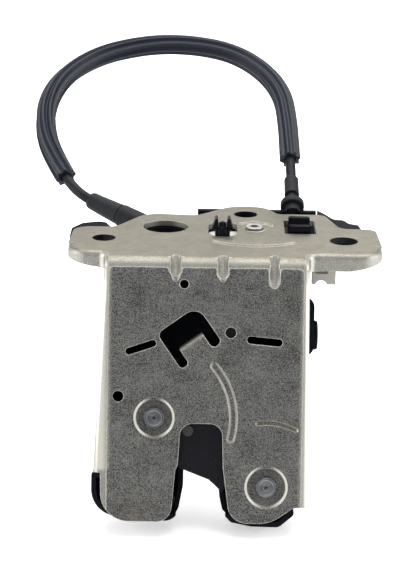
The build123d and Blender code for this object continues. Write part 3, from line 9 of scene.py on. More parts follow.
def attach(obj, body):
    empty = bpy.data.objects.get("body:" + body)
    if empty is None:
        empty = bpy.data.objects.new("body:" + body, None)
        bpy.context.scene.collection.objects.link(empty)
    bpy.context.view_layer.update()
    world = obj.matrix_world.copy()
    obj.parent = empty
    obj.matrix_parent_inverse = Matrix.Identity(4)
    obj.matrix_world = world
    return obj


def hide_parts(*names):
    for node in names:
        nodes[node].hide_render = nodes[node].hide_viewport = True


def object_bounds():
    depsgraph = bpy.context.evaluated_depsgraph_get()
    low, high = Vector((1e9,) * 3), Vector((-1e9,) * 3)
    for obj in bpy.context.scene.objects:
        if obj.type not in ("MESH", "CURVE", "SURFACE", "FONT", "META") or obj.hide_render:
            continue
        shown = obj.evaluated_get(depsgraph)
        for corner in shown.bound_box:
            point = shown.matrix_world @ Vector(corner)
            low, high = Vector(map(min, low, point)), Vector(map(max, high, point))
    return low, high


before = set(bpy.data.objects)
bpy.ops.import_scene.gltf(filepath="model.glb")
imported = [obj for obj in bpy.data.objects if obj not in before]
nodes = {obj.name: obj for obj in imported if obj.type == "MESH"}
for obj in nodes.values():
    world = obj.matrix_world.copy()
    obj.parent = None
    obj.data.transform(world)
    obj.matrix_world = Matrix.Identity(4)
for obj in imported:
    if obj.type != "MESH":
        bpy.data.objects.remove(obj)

bl_info = {
    "name": "Boot lid latch",
    "version": (1, 0, 0),
    "blender": (4, 5, 0),
    "location": "3D View > Sidebar > Latch",
    "description": "Finishes, cable pieces, light and camera for a boot lid latch",
    "category": "Object",
}

cad_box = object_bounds()
mm = 0.001

# The leaning face of the plate: its upper corner, and the directions up the face and out of it
face_lean = radians(15.0)
face_corner = Vector((0, -0.0244, 0))
face_up = Vector((0, sin(face_lean), cos(face_lean)))
face_out = Vector((0, -cos(face_lean), sin(face_lean)))


def on_face(across, down):
    """A place on the leaning face, this far across and down from its upper corner, in metres."""
    return face_corner + Vector((across, 0, 0)) - down * face_up


# Places that a finish needs, in metres
fork_pivot = on_face(-0.0238, 0.0563)
pawl_pivot = on_face(0.0161, 0.0804)
fork_pip = on_face(-0.0119, 0.0611)
left_leg_foot = on_face(-0.0300, 0.0900)
lever_rivet_top = Vector((0.0113, 0.0140, 0.0012))

# Measures of the plate that its finish needs, in millimetres
face_middle = -6.0
step_line = -3.1              # up the face from its corner: the upper edge of its pressed panel
panel_half = 34.4             # from the middle of the face to the panel's side edges
bend_band = (31.0, 34.0)      # from the middle: where the painted highlight on the side bends starts and where it is full
glow_band = (32.6, 36.4)      # from the middle: the soft band of painted highlight on them
wall_fade = (39.0, 37.5)      # from the middle: where both bands end at the side walls
leg_foot_fade = (-74.0, -71.5)  # upwards: the band on the left ends above the foot of its leg
recess_radius = 6.5           # of the painted shade inside the pressed ring of a rivet
ring_radius = 8.5             # of the patch that holds the pressed ring itself, whose bend gets painted highlight

# Gussets, in millimetres: across, up the face to the lowest point of the foot, the foot's radius
gussets = ((-16.9, -6.2, 2.4), (-0.3, -7.0, 2.1), (17.9, -9.9, 1.9))

# Holes of the flange: the centre in metres, and a radius in millimetres that takes in the wall
flange_holes = (
    ((-0.0436, 0.0, 0.0), 4.35),
    ((0.0436, 0.0, 0.0), 5.25),
    ((0.0084, 0.0341, 0.0), 4.55),
)

# Control points of the release cable, from the collar on the left to the ring on the right
cable_route = [
    (-0.0332, 0.0406, -0.0058),
    (-0.0464, 0.0492, -0.0023),
    (-0.0582, 0.0556, 0.0022),
    (-0.0663, 0.0708, 0.0094),
    (-0.0723, 0.0859, 0.0169),
    (-0.0737, 0.1041, 0.0260),
    (-0.0680, 0.1209, 0.0344),
    (-0.0543, 0.1342, 0.0410),
    (-0.0373, 0.1408, 0.0442),
    (-0.0220, 0.1426, 0.0452),
    (-0.0055, 0.1406, 0.0441),
    (0.0070, 0.1352, 0.0414),
    (0.0178, 0.1248, 0.0362),
    (0.0244, 0.1115, 0.0297),
    (0.0260, 0.0955, 0.0216),
    (0.0264, 0.0810, 0.0141),
    (0.0267, 0.0715, 0.0087),
    (0.0269, 0.0626, 0.0029),
    (0.0269, 0.05445, -0.00092),
]
boot_bore = 0.0021            # inner radius
sleeve_bore = 0.00235         # inner radius

# Runs of the route, by the number of their first point, in whose middles a piece starts and ends
sleeve_runs = (2, 15)
left_boot_runs = (0, 1)
right_boot_runs = (16, 17)

# Camera: the photograph's height and focal length in pixels, and the sensor's longer side in millimetres
photo_height = 564
photo_focal = 1829
sensor = 36.0
light_aim = Vector((0, 0, -0.03))

# Linear colours of marks and shades, with their alpha
worn_brown = (0.13, 0.12, 0.09, 1.0)
deep_shade = (0.16, 0.16, 0.16, 1.0)
rust = (0.12, 0.08, 0.05, 1.0)
speck_dark = (0.05, 0.045, 0.04, 1.0)
# Painted shade: in the recesses round the rivets, on the walls of the flange's holes and in the hollows of
# rivet heads
painted_recess_shade = (0.05, 0.048, 0.045, 1.0)
painted_hole_wall_shade = (0.016, 0.018, 0.020, 1.0)
painted_hollow_shade = (0.02, 0.02, 0.02, 1.0)
pip_grey = (0.07, 0.07, 0.075, 1.0)
plastic_dust = (0.30, 0.29, 0.27, 1.0)
rubber_dust = (0.22, 0.22, 0.22, 1.0)


def middle(run):
    """The middle of a run of the cable's route, where its line touches it."""
    return (Vector(cable_route[run]) + Vector(cable_route[run + 1])) / 2


# Node building

class Graph:
    """Short calls that add and join the nodes of a material or of a node group."""

    def __init__(self, tree):
        self.tree = tree

    def node(self, kind, inputs=None, **settings):
        """A node with its settings, its inputs linked or set by name or number."""
        made = self.tree.nodes.new(kind)
        made.location = (220 * (len(self.tree.nodes) % 9) - 1900, 260 * (len(self.tree.nodes) // 9) - 700)
        for name, value in settings.items():
            setattr(made, name, value)
        for name, value in (inputs or {}).items():
            self.feed(made.inputs[name], value)
        return made

    def feed(self, socket, value):
        """Links an output to this socket, or sets the socket's own value."""
        if isinstance(value, bpy.types.NodeSocket):
            self.tree.links.new(value, socket)
        else:
            socket.default_value = value

    def math(self, operation, *values):
        """The result of a Math node."""
        return self.node("ShaderNodeMath", dict(enumerate(values)), operation=operation).outputs[0]

    def plus(self, first, second):
        """The sum of two values."""
        return self.math("ADD", first, second)

    def minus(self, first, second):
        """The first value less the second."""
        return self.math("SUBTRACT", first, second)

    def times(self, first, *others):
        """The product of two or more values."""
        for other in others:
            first = self.math("MULTIPLY", first, other)
        return first

    def highest(self, first, *others):
        """The highest of two or more values."""
        for other in others:
            first = self.math("MAXIMUM", first, other)
        return first

    def give(self, label, value):
        """Sends a value to the end of the tree: an output of its group, or an input of its shader."""
        self.feed(self.ends[label], value)

    def vector(self, operation, first, second):
        """A Vector Math node of two vectors."""
        return self.node("ShaderNodeVectorMath", {0: first, 1: second}, operation=operation)

    def own(self, what):
        """The object's own coordinates in metres, or its own normal."""
        return self.node("ShaderNodeTexCoord").outputs[what]

    def millimetres(self, stretch=(1.0, 1.0, 1.0)):
        """The object's own coordinates in millimetres, stretched along its axes."""
        inputs = {"Vector": self.own("Object"), "Scale": tuple(share / mm for share in stretch)}
        return self.node("ShaderNodeMapping", inputs).outputs["Vector"]

    def part(self, vector, axis):
        """One part of a vector: X, Y or Z."""
        return self.node("ShaderNodeSeparateXYZ", {0: vector}).outputs[axis]

    def noise(self, scale, detail=3.0, roughness=0.55, place=None):
        """The strength of a Noise texture, over the object's own millimetres if no place is given."""
        if place is None:
            place = self.millimetres()
        inputs = {"Vector": place, "Scale": scale, "Detail": detail, "Roughness": roughness}
        return self.node("ShaderNodeTexNoise", inputs).outputs[0]

    def ramp(self, value, low, high, start=0.0, end=1.0):
        """A smooth step of a value from low to high."""
        inputs = {"Value": value, "From Min": low, "From Max": high, "To Min": start, "To Max": end}
        made = self.node("ShaderNodeMapRange", inputs, interpolation_type="SMOOTHSTEP")
        return made.outputs["Result"]

    def mix(self, share, first, second, blend="MIX"):
        """A colour mixed from two others."""
        inputs = {0: share, 6: first, 7: second}
        made = self.node("ShaderNodeMix", inputs, data_type="RGBA", blend_type=blend)
        return made.outputs[2]

    def effect(self, name, **inputs):
        """The outputs of one of this file's node groups, which is made when it is first needed."""
        if name not in bpy.data.node_groups:
            effects[name]()
        made = self.node("ShaderNodeGroup")
        made.node_tree = bpy.data.node_groups[name]
        for label, value in inputs.items():
            self.feed(made.inputs[label.replace("_", " ")], value)
        return made.outputs

    def disc(self, centre, axis, radius):
        """A mask of the round patch of this radius, in millimetres, about an axis."""
        return self.effect("disc", Centre=centre, Axis=axis, Radius=radius)["Mask"]


def new_group(name, inputs, outputs):
    """An empty node group, and the graph that fills it.

    The inputs come with their defaults. A tuple is a vector, and so is the output Normal.
    """
    tree = bpy.data.node_groups.new(name, "ShaderNodeTree")
    for label, value in inputs.items():
        kind = "NodeSocketVector" if isinstance(value, tuple) else "NodeSocketFloat"
        socket = tree.interface.new_socket(label, in_out="INPUT", socket_type=kind)
        socket.default_value = value
    for label in outputs:
        kind = "NodeSocketVector" if label == "Normal" else "NodeSocketFloat"
        tree.interface.new_socket(label, in_out="OUTPUT", socket_type=kind)
    graph = Graph(tree)
    graph.given = tree.nodes.new("NodeGroupInput").outputs
    graph.ends = tree.nodes.new("NodeGroupOutput").inputs
    return graph


# Effects that several finishes share

def make_grain():
    """Mottled crystals of a plated or rolled surface."""
    inputs = {"Fineness": 2.2, "Contrast": 0.5, "Streaks": 0.2}
    graph = new_group("surface_grain", inputs, ["Shade", "Height"])
    fine = graph.noise(graph.given["Fineness"], detail=5.0, roughness=0.85)
    broad = graph.noise(0.11, detail=4.0, roughness=0.65)
    rolled = graph.noise(1.4, detail=2.0, place=graph.millimetres((0.12, 2.0, 2.0)))
    contrast = graph.times(graph.minus(fine, 0.5), graph.given["Contrast"])
    clouds = graph.times(graph.minus(broad, 0.5), 0.9)
    streaks = graph.times(graph.minus(rolled, 0.5), graph.given["Streaks"])
    shade = graph.plus(graph.plus(contrast, clouds), graph.plus(streaks, 0.5))
    graph.give("Shade", shade)
    graph.give("Height", graph.plus(fine, streaks))


def make_specks():
    """Small round specks scattered over a surface."""
    graph = new_group("specks", {"Spacing": 4.0, "Size": 0.15}, ["Mask"])
    scale = graph.math("DIVIDE", 1.0, graph.given["Spacing"])
    cells = graph.node("ShaderNodeTexVoronoi", {"Vector": graph.millimetres(), "Scale": scale})
    reach = graph.times(graph.given["Size"], scale)
    share = graph.node("ShaderNodeSeparateColor", {0: cells.outputs["Color"]}).outputs[0]
    limit = graph.times(reach, share)
    graph.give("Mask", graph.math("LESS_THAN", cells.outputs["Distance"], limit))


def make_edges():
    """A mask of painted highlight along sharp edges, broken up by noise, and a normal that rounds them."""
    graph = new_group("edge_highlight_and_bevel", {"Radius": 0.3}, ["Mask", "Normal"])
    radius = graph.times(graph.given["Radius"], mm)
    bevel = graph.node("ShaderNodeBevel", {"Radius": radius}, samples=6)
    plain = graph.node("ShaderNodeNewGeometry").outputs["Normal"]
    agree = graph.vector("DOT_PRODUCT", bevel.outputs["Normal"], plain).outputs["Value"]
    patchy = graph.noise(1.1)
    mask = graph.times(graph.ramp(agree, 0.95, 0.80), graph.ramp(patchy, 0.2, 0.6, 0.4, 1.0))
    graph.give("Mask", mask)
    graph.give("Normal", bevel.outputs["Normal"])


def make_facing_up():
    """A mask of the surfaces that face upwards on the object."""
    graph = new_group("facing_up", {}, ["Mask"])
    height = graph.part(graph.own("Normal"), "Z")
    graph.give("Mask", graph.ramp(height, 0.45, 0.97))


def make_facing_side():
    """Masks of what turns to a side, of the bends beside the face, and of a band on them, all for painted
    highlight.
    """
    graph = new_group("facing_side", {}, ["Mask", "Bends", "Glow"])
    share = graph.math("ABSOLUTE", graph.part(graph.own("Normal"), "X"))
    turned = graph.times(graph.ramp(share, 0.04, 0.50), graph.ramp(share, 0.99, 0.90, 0.05, 1.0))
    graph.give("Mask", turned)
    place = graph.node("ShaderNodeSeparateXYZ", {0: graph.millimetres()}).outputs
    out = graph.math("ABSOLUTE", graph.minus(place["X"], face_middle))
    before_wall = graph.ramp(out, *wall_fade)
    band = graph.times(graph.ramp(out, *bend_band), before_wall)
    graph.give("Bends", graph.times(band, graph.ramp(place["Z"], -5.0, -10.0, 0.25, 1.0)))
    on_right = graph.ramp(place["X"], -1.0, 1.0)
    above_foot = graph.highest(on_right, graph.ramp(place["Z"], *leg_foot_fade))
    to_front = graph.ramp(share, 0.97, 0.75)
    graph.give("Glow", graph.times(graph.ramp(out, *glow_band), before_wall, above_foot, to_front))


def make_panel_step():
    """The edge of the face's pressed panel, which runs down round the foot of each gusset."""
    graph = new_group("panel_step", {}, ["Mask", "Height"])
    offset = graph.vector("SUBTRACT", graph.own("Object"), tuple(face_corner)).outputs["Vector"]
    up = graph.math("DIVIDE", graph.vector("DOT_PRODUCT", offset, tuple(face_up)).outputs["Value"], mm)
    across = graph.math("DIVIDE", graph.part(offset, "X"), mm)
    apart = graph.minus(step_line, up)
    for gusset_across, foot, radius in gussets:
        sideways = graph.minus(across, gusset_across)
        below = graph.highest(graph.minus(foot + radius, up), 0.0)
        squares = graph.plus(graph.math("POWER", sideways, 2.0), graph.math("POWER", below, 2.0))
        round_foot = graph.minus(graph.math("SQRT", squares), radius)
        apart = graph.math("SMOOTH_MIN", apart, round_foot, 1.5)
    out = graph.math("ABSOLUTE", graph.minus(across, face_middle))
    apart = graph.math("SMOOTH_MIN", apart, graph.minus(panel_half, out), 3.0)
    wander = graph.times(graph.minus(graph.noise(0.5), 0.5), 0.7)
    line = graph.plus(apart, wander)
    graph.give("Mask", graph.ramp(graph.math("ABSOLUTE", line), 0.34, 0.05))
    graph.give("Height", graph.ramp(line, -0.35, 0.35, 1.0, 0.0))


def make_scratches():
    """Long thin scratches in one direction, broken up."""
    graph = new_group("scratches", {"Amount": 0.5}, ["Mask"])
    lines = graph.noise(2.6, detail=1.0, place=graph.millimetres((0.05, 1.0, 2.2)))
    places = graph.noise(0.07, detail=1.0)
    thin = graph.ramp(lines, 0.70, 0.76)
    broken = graph.ramp(places, 0.50, 0.66)
    graph.give("Mask", graph.times(thin, broken, graph.given["Amount"]))


def make_stain():
    """A soft patch round one place, broken up by noise."""
    graph = new_group("stain", {"Centre": (0, 0, 0), "Reach": 6.0}, ["Mask"])
    apart = graph.vector("DISTANCE", graph.own("Object"), graph.given["Centre"]).outputs["Value"]
    share = graph.math("DIVIDE", graph.math("DIVIDE", apart, mm), graph.given["Reach"])
    patches = graph.ramp(graph.noise(0.7, detail=5.0), 0.35, 0.7)
    graph.give("Mask", graph.times(graph.ramp(share, 1.0, 0.2), patches))


def axis_distance(graph):
    """The distance in millimetres from the axis that a group is given."""
    offset = graph.vector("SUBTRACT", graph.own("Object"), graph.given["Centre"]).outputs["Vector"]
    across = graph.vector("CROSS_PRODUCT", offset, graph.given["Axis"]).outputs["Vector"]
    apart = graph.vector("DISTANCE", across, (0, 0, 0)).outputs["Value"]
    return graph.math("DIVIDE", apart, mm)


def make_rings():
    """Fine turned rings round an axis."""
    graph = new_group("turned_rings", {"Centre": (0, 0, 0), "Axis": (0, 0, 1), "Spacing": 0.5}, ["Height"])
    radius = axis_distance(graph)
    turns = graph.times(graph.math("DIVIDE", radius, graph.given["Spacing"]), 2 * pi)
    wave = graph.math("SINE", turns)
    graph.give("Height", graph.times(wave, graph.ramp(radius, 3.4, 2.9)))


def make_disc():
    """A mask of a round patch about an axis."""
    graph = new_group("disc", {"Centre": (0, 0, 0), "Axis": (0, 0, 1), "Radius": 2.0}, ["Mask"])
    radius = axis_distance(graph)
    share = graph.minus(radius, graph.given["Radius"])
    graph.give("Mask", graph.ramp(share, 0.12, -0.12))


def make_moulded_skin():
    """The fine texture that a mould leaves on plastic or rubber."""
    graph = new_group("moulded_skin", {"Fineness": 5.0, "Gloss": 0.4}, ["Roughness", "Height"])
    fine = graph.noise(graph.given["Fineness"], detail=3.0, roughness=0.6)
    broad = graph.noise(0.16, detail=2.0)
    rough = graph.minus(1.0, graph.given["Gloss"])
    spread = graph.plus(graph.times(broad, 0.22), graph.times(fine, 0.12))
    graph.give("Roughness", graph.plus(rough, graph.minus(spread, 0.17)))
    graph.give("Height", fine)


def make_dust():
    """Thin dust that settles on what faces upwards."""
    graph = new_group("dust", {"Amount": 0.3}, ["Mask"])
    up = graph.effect("facing_up")["Mask"]
    patches = graph.ramp(graph.noise(1.6, detail=6.0, roughness=0.75), 0.42, 0.72)
    share = graph.math("MULTIPLY_ADD", up, 0.7, 0.3)
    graph.give("Mask", graph.times(share, patches, graph.given["Amount"]))


effects = {
    "surface_grain": make_grain,
    "specks": make_specks,
    "edge_highlight_and_bevel": make_edges,
    "facing_up": make_facing_up,
    "facing_side": make_facing_side,
    "panel_step": make_panel_step,
    "scratches": make_scratches,
    "stain": make_stain,
    "turned_rings": make_rings,
    "disc": make_disc,
    "moulded_skin": make_moulded_skin,
    "dust": make_dust,
}


# Finishes

def new_material(name, **constants):
    """The graph of a material with a Principled shader. Constants go on the shader's own sockets."""
    material = bpy.data.materials.new(name)
    material.use_nodes = True
    graph = Graph(material.node_tree)
    graph.ends = material.node_tree.nodes["Principled BSDF"].inputs
    for label, value in constants.items():
        graph.give(label.replace("_", " "), value)
    graph.material = material
    return graph


def bump(graph, height, strength, depth, normal=None):
    """Sends a height to the shader's normal, depth in millimetres."""
    inputs = {"Height": height, "Strength": strength, "Distance": depth * mm}
    if normal is not None:
        inputs["Normal"] = normal
    made = graph.node("ShaderNodeBump", inputs)
    graph.give("Normal", made.outputs["Normal"])


def solid(colour):
    """A colour with its alpha."""
    return (*colour, 1.0)


def plated_sheet(name, colours):
    """Zinc plated sheet: warm and even on top, grey and grainy on the face, with painted highlight on bends
    and rims.
    """
    graph = new_material(name, IOR=1.5)
    up = graph.effect("facing_up")["Mask"]
    side = graph.effect("facing_side")
    step = graph.effect("panel_step")
    grain = graph.effect("surface_grain", Fineness=2.6, Contrast=6.0, Streaks=0.45)
    tint = graph.noise(0.05, detail=2.0)
    warm = graph.mix(graph.ramp(tint, 0.35, 0.65), solid(colours.flange), solid(colours.flange_tint))
    clouds = graph.noise(0.5, detail=5.0, roughness=0.75, place=graph.millimetres((0.6, 1.0, 1.0)))
    worn = graph.times(graph.ramp(clouds, 0.60, 0.40), 0.20)
    warm = graph.mix(worn, warm, worn_brown)
    base = graph.mix(up, solid(colours.face), warm)
    dark = graph.mix(1.0, base, deep_shade, "MULTIPLY")
    even = graph.mix(0.45, dark, base)
    mottled = graph.mix(graph.ramp(grain["Shade"], 0.10, 0.90), graph.mix(up, dark, even), base)
    rusty = graph.times(graph.effect("stain", Centre=left_leg_foot, Reach=9.0)["Mask"], 0.4)
    stained = graph.mix(rusty, mottled, rust)
    specked = graph.mix(graph.effect("specks", Spacing=7.0, Size=0.30)["Mask"], stained, speck_dark)
    marked = graph.mix(graph.effect("scratches", Amount=0.25)["Mask"], specked, solid(colours.rim))
    edges = graph.effect("edge_highlight_and_bevel", Radius=0.6)
    off_top = graph.minus(1.0, up)
    # The recesses round the rivets get painted shade, and their rings get the same painted highlight as the
    # side bends
    near = side["Bends"]
    for pivot in (fork_pivot, pawl_pivot):
        recess = graph.disc(pivot, face_out, recess_radius)
        marked = graph.mix(graph.times(recess, 0.4), marked, painted_recess_shade)
        ring = graph.disc(pivot, face_out, ring_radius)
        near = graph.highest(near, ring)
    # The walls of the flange's holes get painted shade, and no painted highlight on their rims
    plain = 1.0
    for centre, radius in flange_holes:
        wall = graph.disc(centre, (0.0, 0.0, 1.0), radius)
        marked = graph.mix(graph.times(wall, off_top), marked, painted_hole_wall_shade)
        plain = graph.minus(plain, wall)
    # Painted highlight: on rims, side bends, the panel's edge, the front bend, the band at the sides and the
    # raised strip above the panel
    near = graph.highest(near, graph.times(off_top, 0.4))
    bends = graph.times(side["Mask"], near, 0.85)
    rims = graph.times(edges["Mask"], graph.math("MULTIPLY_ADD", up, -0.6, 0.9))
    painted_highlight = graph.highest(rims, bends, graph.times(step["Mask"], 0.5))
    front_bend = graph.times(up, off_top, 0.25)
    raised = graph.times(step["Height"], off_top, 0.20)
    glow = graph.times(side["Glow"], off_top, 0.6)
    painted_highlight = graph.highest(painted_highlight, graph.plus(front_bend, graph.highest(raised, glow)))
    painted_highlight = graph.times(painted_highlight, plain)
    graph.give("Base Color", graph.mix(painted_highlight, marked, solid(colours.rim)))
    graph.give("Metallic", graph.math("MULTIPLY_ADD", painted_highlight, -0.45, 0.90))
    rough = graph.math("MULTIPLY_ADD", grain["Shade"], -0.16, 0.60)
    graph.give("Roughness", graph.math("MULTIPLY_ADD", up, -0.06, rough))
    height = graph.math("MULTIPLY_ADD", step["Height"], 6.0, grain["Height"])
    bump(graph, height, 0.4, 0.05, edges["Normal"])
    return graph.material


def bright_steel(name, colour, roughness, centre=None, axis=None, hollow=0.55):
    """Plated steel with painted highlight on its rims. Where an axis is given: turned rings, a painted
    highlight line, and painted shade in a hollow of this radius.
    """
    graph = new_material(name, Metallic=1.0)
    grain = graph.effect("surface_grain", Fineness=4.0, Contrast=0.7, Streaks=0.1)
    dark = tuple(0.55 * part for part in colour)
    base = graph.mix(graph.ramp(grain["Shade"], 0.25, 0.75), solid(dark), solid(colour))
    edges = graph.effect("edge_highlight_and_bevel", Radius=0.25)
    # Painted highlight on the rims, paler than the steel
    painted_highlight = tuple(min(1.0, 1.5 * part) for part in colour)
    rimmed = graph.mix(graph.times(edges["Mask"], 0.6), base, solid(painted_highlight))
    graph.give("Roughness", graph.math("MULTIPLY_ADD", grain["Shade"], -0.2, roughness + 0.1))
    height = grain["Height"]
    if centre is not None:
        rings = graph.effect("turned_rings", Centre=centre, Axis=axis, Spacing=0.85)
        height = graph.math("MULTIPLY_ADD", rings["Height"], 1.6, grain["Height"])
        # Painted shade in the hollow at the middle of the head
        dimple = graph.disc(centre, axis, hollow)
        rimmed = graph.mix(graph.times(dimple, 0.8), rimmed, painted_hollow_shade)
        # A thin ring of painted highlight round the head
        to_outside = graph.disc(centre, axis, 2.75)
        to_inside = graph.disc(centre, axis, 2.45)
        line = graph.minus(to_outside, to_inside)
        rimmed = graph.mix(graph.times(line, 0.8), rimmed, solid(painted_highlight))
    graph.give("Base Color", rimmed)
    bump(graph, height, 0.5, 0.04, edges["Normal"])
    return graph.material


def moulding(name, colour, gloss, fineness=5.0, rim=1.9, dust=0.06, depth=0.03, shine=0.12, pip=None):
    """Moulded plastic or rubber: a fine skin, painted highlight on rims, a little dust, and a pip where one
    is given.
    """
    graph = new_material(name, IOR=1.46, Specular_IOR_Level=shine)
    skin = graph.effect("moulded_skin", Fineness=fineness, Gloss=gloss)
    edges = graph.effect("edge_highlight_and_bevel", Radius=0.3)
    pale = tuple(min(1.0, rim * part + 0.01) for part in colour)
    rimmed = graph.mix(graph.times(edges["Mask"], 0.5), solid(colour), solid(pale))
    dusty = graph.mix(graph.effect("dust", Amount=dust)["Mask"], rimmed, plastic_dust)
    if pip is not None:
        worn = graph.disc(pip, face_out, 1.95)
        dusty = graph.mix(graph.times(worn, 0.8), dusty, pip_grey)
    graph.give("Base Color", dusty)
    graph.give("Roughness", skin["Roughness"])
    bump(graph, skin["Height"], 0.4, depth, edges["Normal"])
    return graph.material


def ribbed_rubber(name, colour):
    """Extruded rubber of the cable's sleeve, rubbed along its crests."""
    graph = new_material(name, IOR=1.5, Specular_IOR_Level=0.25)
    run = graph.node("ShaderNodeUVMap", uv_map="along_and_round").outputs["UV"]
    fine = graph.node("ShaderNodeMapping", {"Vector": run, "Scale": (60.0, 40.0, 1.0)}).outputs["Vector"]
    streaks = graph.noise(1.0, detail=4.0, roughness=0.6, place=fine)
    crest = graph.node("ShaderNodeAttribute", attribute_name="crest").outputs["Fac"]
    rubbed = graph.times(graph.ramp(crest, 0.55, 1.0), graph.ramp(streaks, 0.3, 0.7, 0.3, 1.0))
    pale = tuple(2.2 * part + 0.01 for part in colour)
    base = graph.mix(graph.times(rubbed, 0.7), solid(colour), solid(pale))
    dusty = graph.mix(graph.effect("dust", Amount=0.05)["Mask"], base, rubber_dust)
    graph.give("Base Color", dusty)
    graph.give("Roughness", graph.math("MULTIPLY_ADD", streaks, 0.3, 0.28))
    bump(graph, streaks, 0.3, 0.04)
    return graph.material


def dress(finish, *names):
    """Gives a finish to CAD nodes."""
    for name in names:
        materials = nodes[name].data.materials
        materials.clear()
        materials.append(finish)


def dress_new(finish, slot, *pieces):
    """Gives a finish to new pieces. The slot is not used."""
    for piece in pieces:
        piece.data.materials.clear()
        piece.data.materials.append(finish)


# New objects and meshes

def link(name, data):
    """A new object in the scene."""
    made = bpy.data.objects.new(name, data)
    bpy.context.scene.collection.objects.link(made)
    return made


def mesh_object(name, mesh):
    """A new object from a bmesh, which is freed."""
    data = bpy.data.meshes.new(name)
    mesh.to_mesh(data)
    mesh.free()
    return link(name, data)


def smooth(piece, angle):
    """Smooths a piece, but keeps edges sharper than this angle, in degrees."""
    piece.data.shade_smooth()
    piece.data.set_sharp_from_angle(angle=radians(angle))


def spline_object(name, radius):
    """A curve object whose one spline is the cable's line, of this radius where its bevel depth is 1."""
    curve = bpy.data.curves.new(name, "CURVE")
    curve.dimensions = "3D"
    curve.resolution_u = 24
    spline = curve.splines.new("NURBS")
    spline.points.add(len(cable_route) - 1)
    for point, place in zip(spline.points, cable_route):
        point.co = (*place, 1.0)
        point.radius = radius
    spline.order_u = 3
    spline.use_endpoint_u = True
    return link(name, curve)


def cable_line():
    """Points close together along the cable's line."""
    line = spline_object("cable_line", 0.0)
    bpy.context.view_layer.update()
    mesh = bpy.data.meshes.new_from_object(line)
    points = [vertex.co.copy() for vertex in mesh.vertices]
    bpy.data.meshes.remove(mesh)
    curve = line.data
    bpy.data.objects.remove(line)
    bpy.data.curves.remove(curve)
    if (points[0] - Vector(cable_route[0])).length > (points[-1] - Vector(cable_route[0])).length:
        points.reverse()
    return points


def stretch(points, start, end):
    """The part of the line from nearest one place to nearest another."""
    first = min(range(len(points)), key=lambda place: (points[place] - start).length)
    last = min(range(len(points)), key=lambda place: (points[place] - end).length)
    return points[first:last + 1]


def stations(points):
    """A place, a side direction and a direction of travel for each point, without twist."""
    made = []
    side = Vector((0, 0, 1))
    for place, point in enumerate(points):
        before = points[max(place - 1, 0)]
        after = points[min(place + 1, len(points) - 1)]
        along = (after - before).normalized()
        side = (side - side.dot(along) * along).normalized()
        made.append((point, side, along))
    return made


def tube(name, line, runs, outer, inner, segments, cut=0.0):
    """A hollow tube along the line between the middles of two runs, its ends ragged by the cut.

    The rule for its outside takes the share of the length and the angle,
    and gives the radius and how far that is up a rib, from 0 to 1.
    """
    uv_metres = 0.1
    mesh = bmesh.new()
    crest = mesh.verts.layers.float.new("crest")
    run = mesh.loops.layers.uv.new("along_and_round")
    points = stretch(line, middle(runs[0]), middle(runs[1]))
    lengths = [0.0]
    for place in range(1, len(points)):
        lengths.append(lengths[-1] + (points[place] - points[place - 1]).length)
    rings = []
    for place, (point, side, along) in enumerate(stations(points)):
        share = lengths[place] / lengths[-1]
        other = along.cross(side)
        ragged = {0: -cut, len(points) - 1: cut}.get(place, 0.0)
        outside = []
        inside = []
        for segment in range(segments):
            angle = 2 * pi * segment / segments
            out = cos(angle) * side + sin(angle) * other
            radius, height = outer(share, angle)
            slip = ragged * (0.5 + 0.5 * sin(3 * angle + 1.0)) * along
            outside.append(mesh.verts.new(point + radius * out + slip))
            outside[-1][crest] = height
            inside.append(mesh.verts.new(point + inner * out + slip))
        rings.append((outside, inside))
    for place in range(len(rings) - 1):
        for segment in range(segments):
            after = (segment + 1) % segments
            outside, inside = rings[place]
            outside_next, inside_next = rings[place + 1]
            skin = mesh.faces.new(
                (outside[segment], outside[after], outside_next[after], outside_next[segment])
            )
            mesh.faces.new((inside[after], inside[segment], inside_next[segment], inside_next[after]))
            corners = ((place, segment), (place, segment + 1), (place + 1, segment + 1), (place + 1, segment))
            for loop, (row, column) in zip(skin.loops, corners):
                loop[run].uv = (lengths[row] / uv_metres, column / segments)
    for outside, inside in (rings[0], rings[-1]):
        for segment in range(segments):
            after = (segment + 1) % segments
            mesh.faces.new((inside[segment], inside[after], outside[after], outside[segment]))
    bmesh.ops.recalc_face_normals(mesh, faces=mesh.faces)
    return mesh_object(name, mesh)


def loft(mesh, sections):
    """A closed shell through sections that have the same number of corners."""
    rings = [[mesh.verts.new(corner) for corner in section] for section in sections]
    count = len(rings[0])
    for first, second in zip(rings, rings[1:]):
        for place in range(count):
            after = (place + 1) % count
            mesh.faces.new((first[place], first[after], second[after], second[place]))
    mesh.faces.new(rings[0])
    mesh.faces.new(rings[-1])


def shrunk(section, share):
    """A section drawn in towards its middle."""
    centre = sum(section, Vector()) / len(section)
    return [centre + share * (corner - centre) for corner in section]


# Settings

class LatchSizes(bpy.types.PropertyGroup):
    """Sizes of the pieces that are made here"""

    casing_diameter: FloatProperty(
        name="Casing diameter", description="Outside diameter of the cable's casing",
        default=0.004, unit="LENGTH",
    )
    sleeve_crest: FloatProperty(
        name="Sleeve crest radius", description="Radius of the sleeve over its ribs",
        default=0.00425, unit="LENGTH",
    )
    sleeve_valley: FloatProperty(
        name="Sleeve valley radius", description="Radius of the sleeve between its ribs",
        default=0.0033, unit="LENGTH",
    )
    sleeve_ribs: IntProperty(
        name="Sleeve ribs", description="Number of ribs round the sleeve",
        default=8, min=4, max=16,
    )
    sleeve_twist: FloatProperty(
        name="Sleeve twist", description="Turn of the ribs over the sleeve's length",
        default=radians(70.0), unit="ROTATION",
    )
    left_boot_thin: FloatProperty(
        name="Left boot, thin end", description="Radius of the left boot at the sleeve",
        default=0.0034, unit="LENGTH",
    )
    left_boot_thick: FloatProperty(
        name="Left boot, thick end", description="Radius of the left boot at its collar",
        default=0.0041, unit="LENGTH",
    )
    right_boot_radius: FloatProperty(
        name="Right boot radius", description="Radius of the right boot",
        default=0.00290, unit="LENGTH",
    )


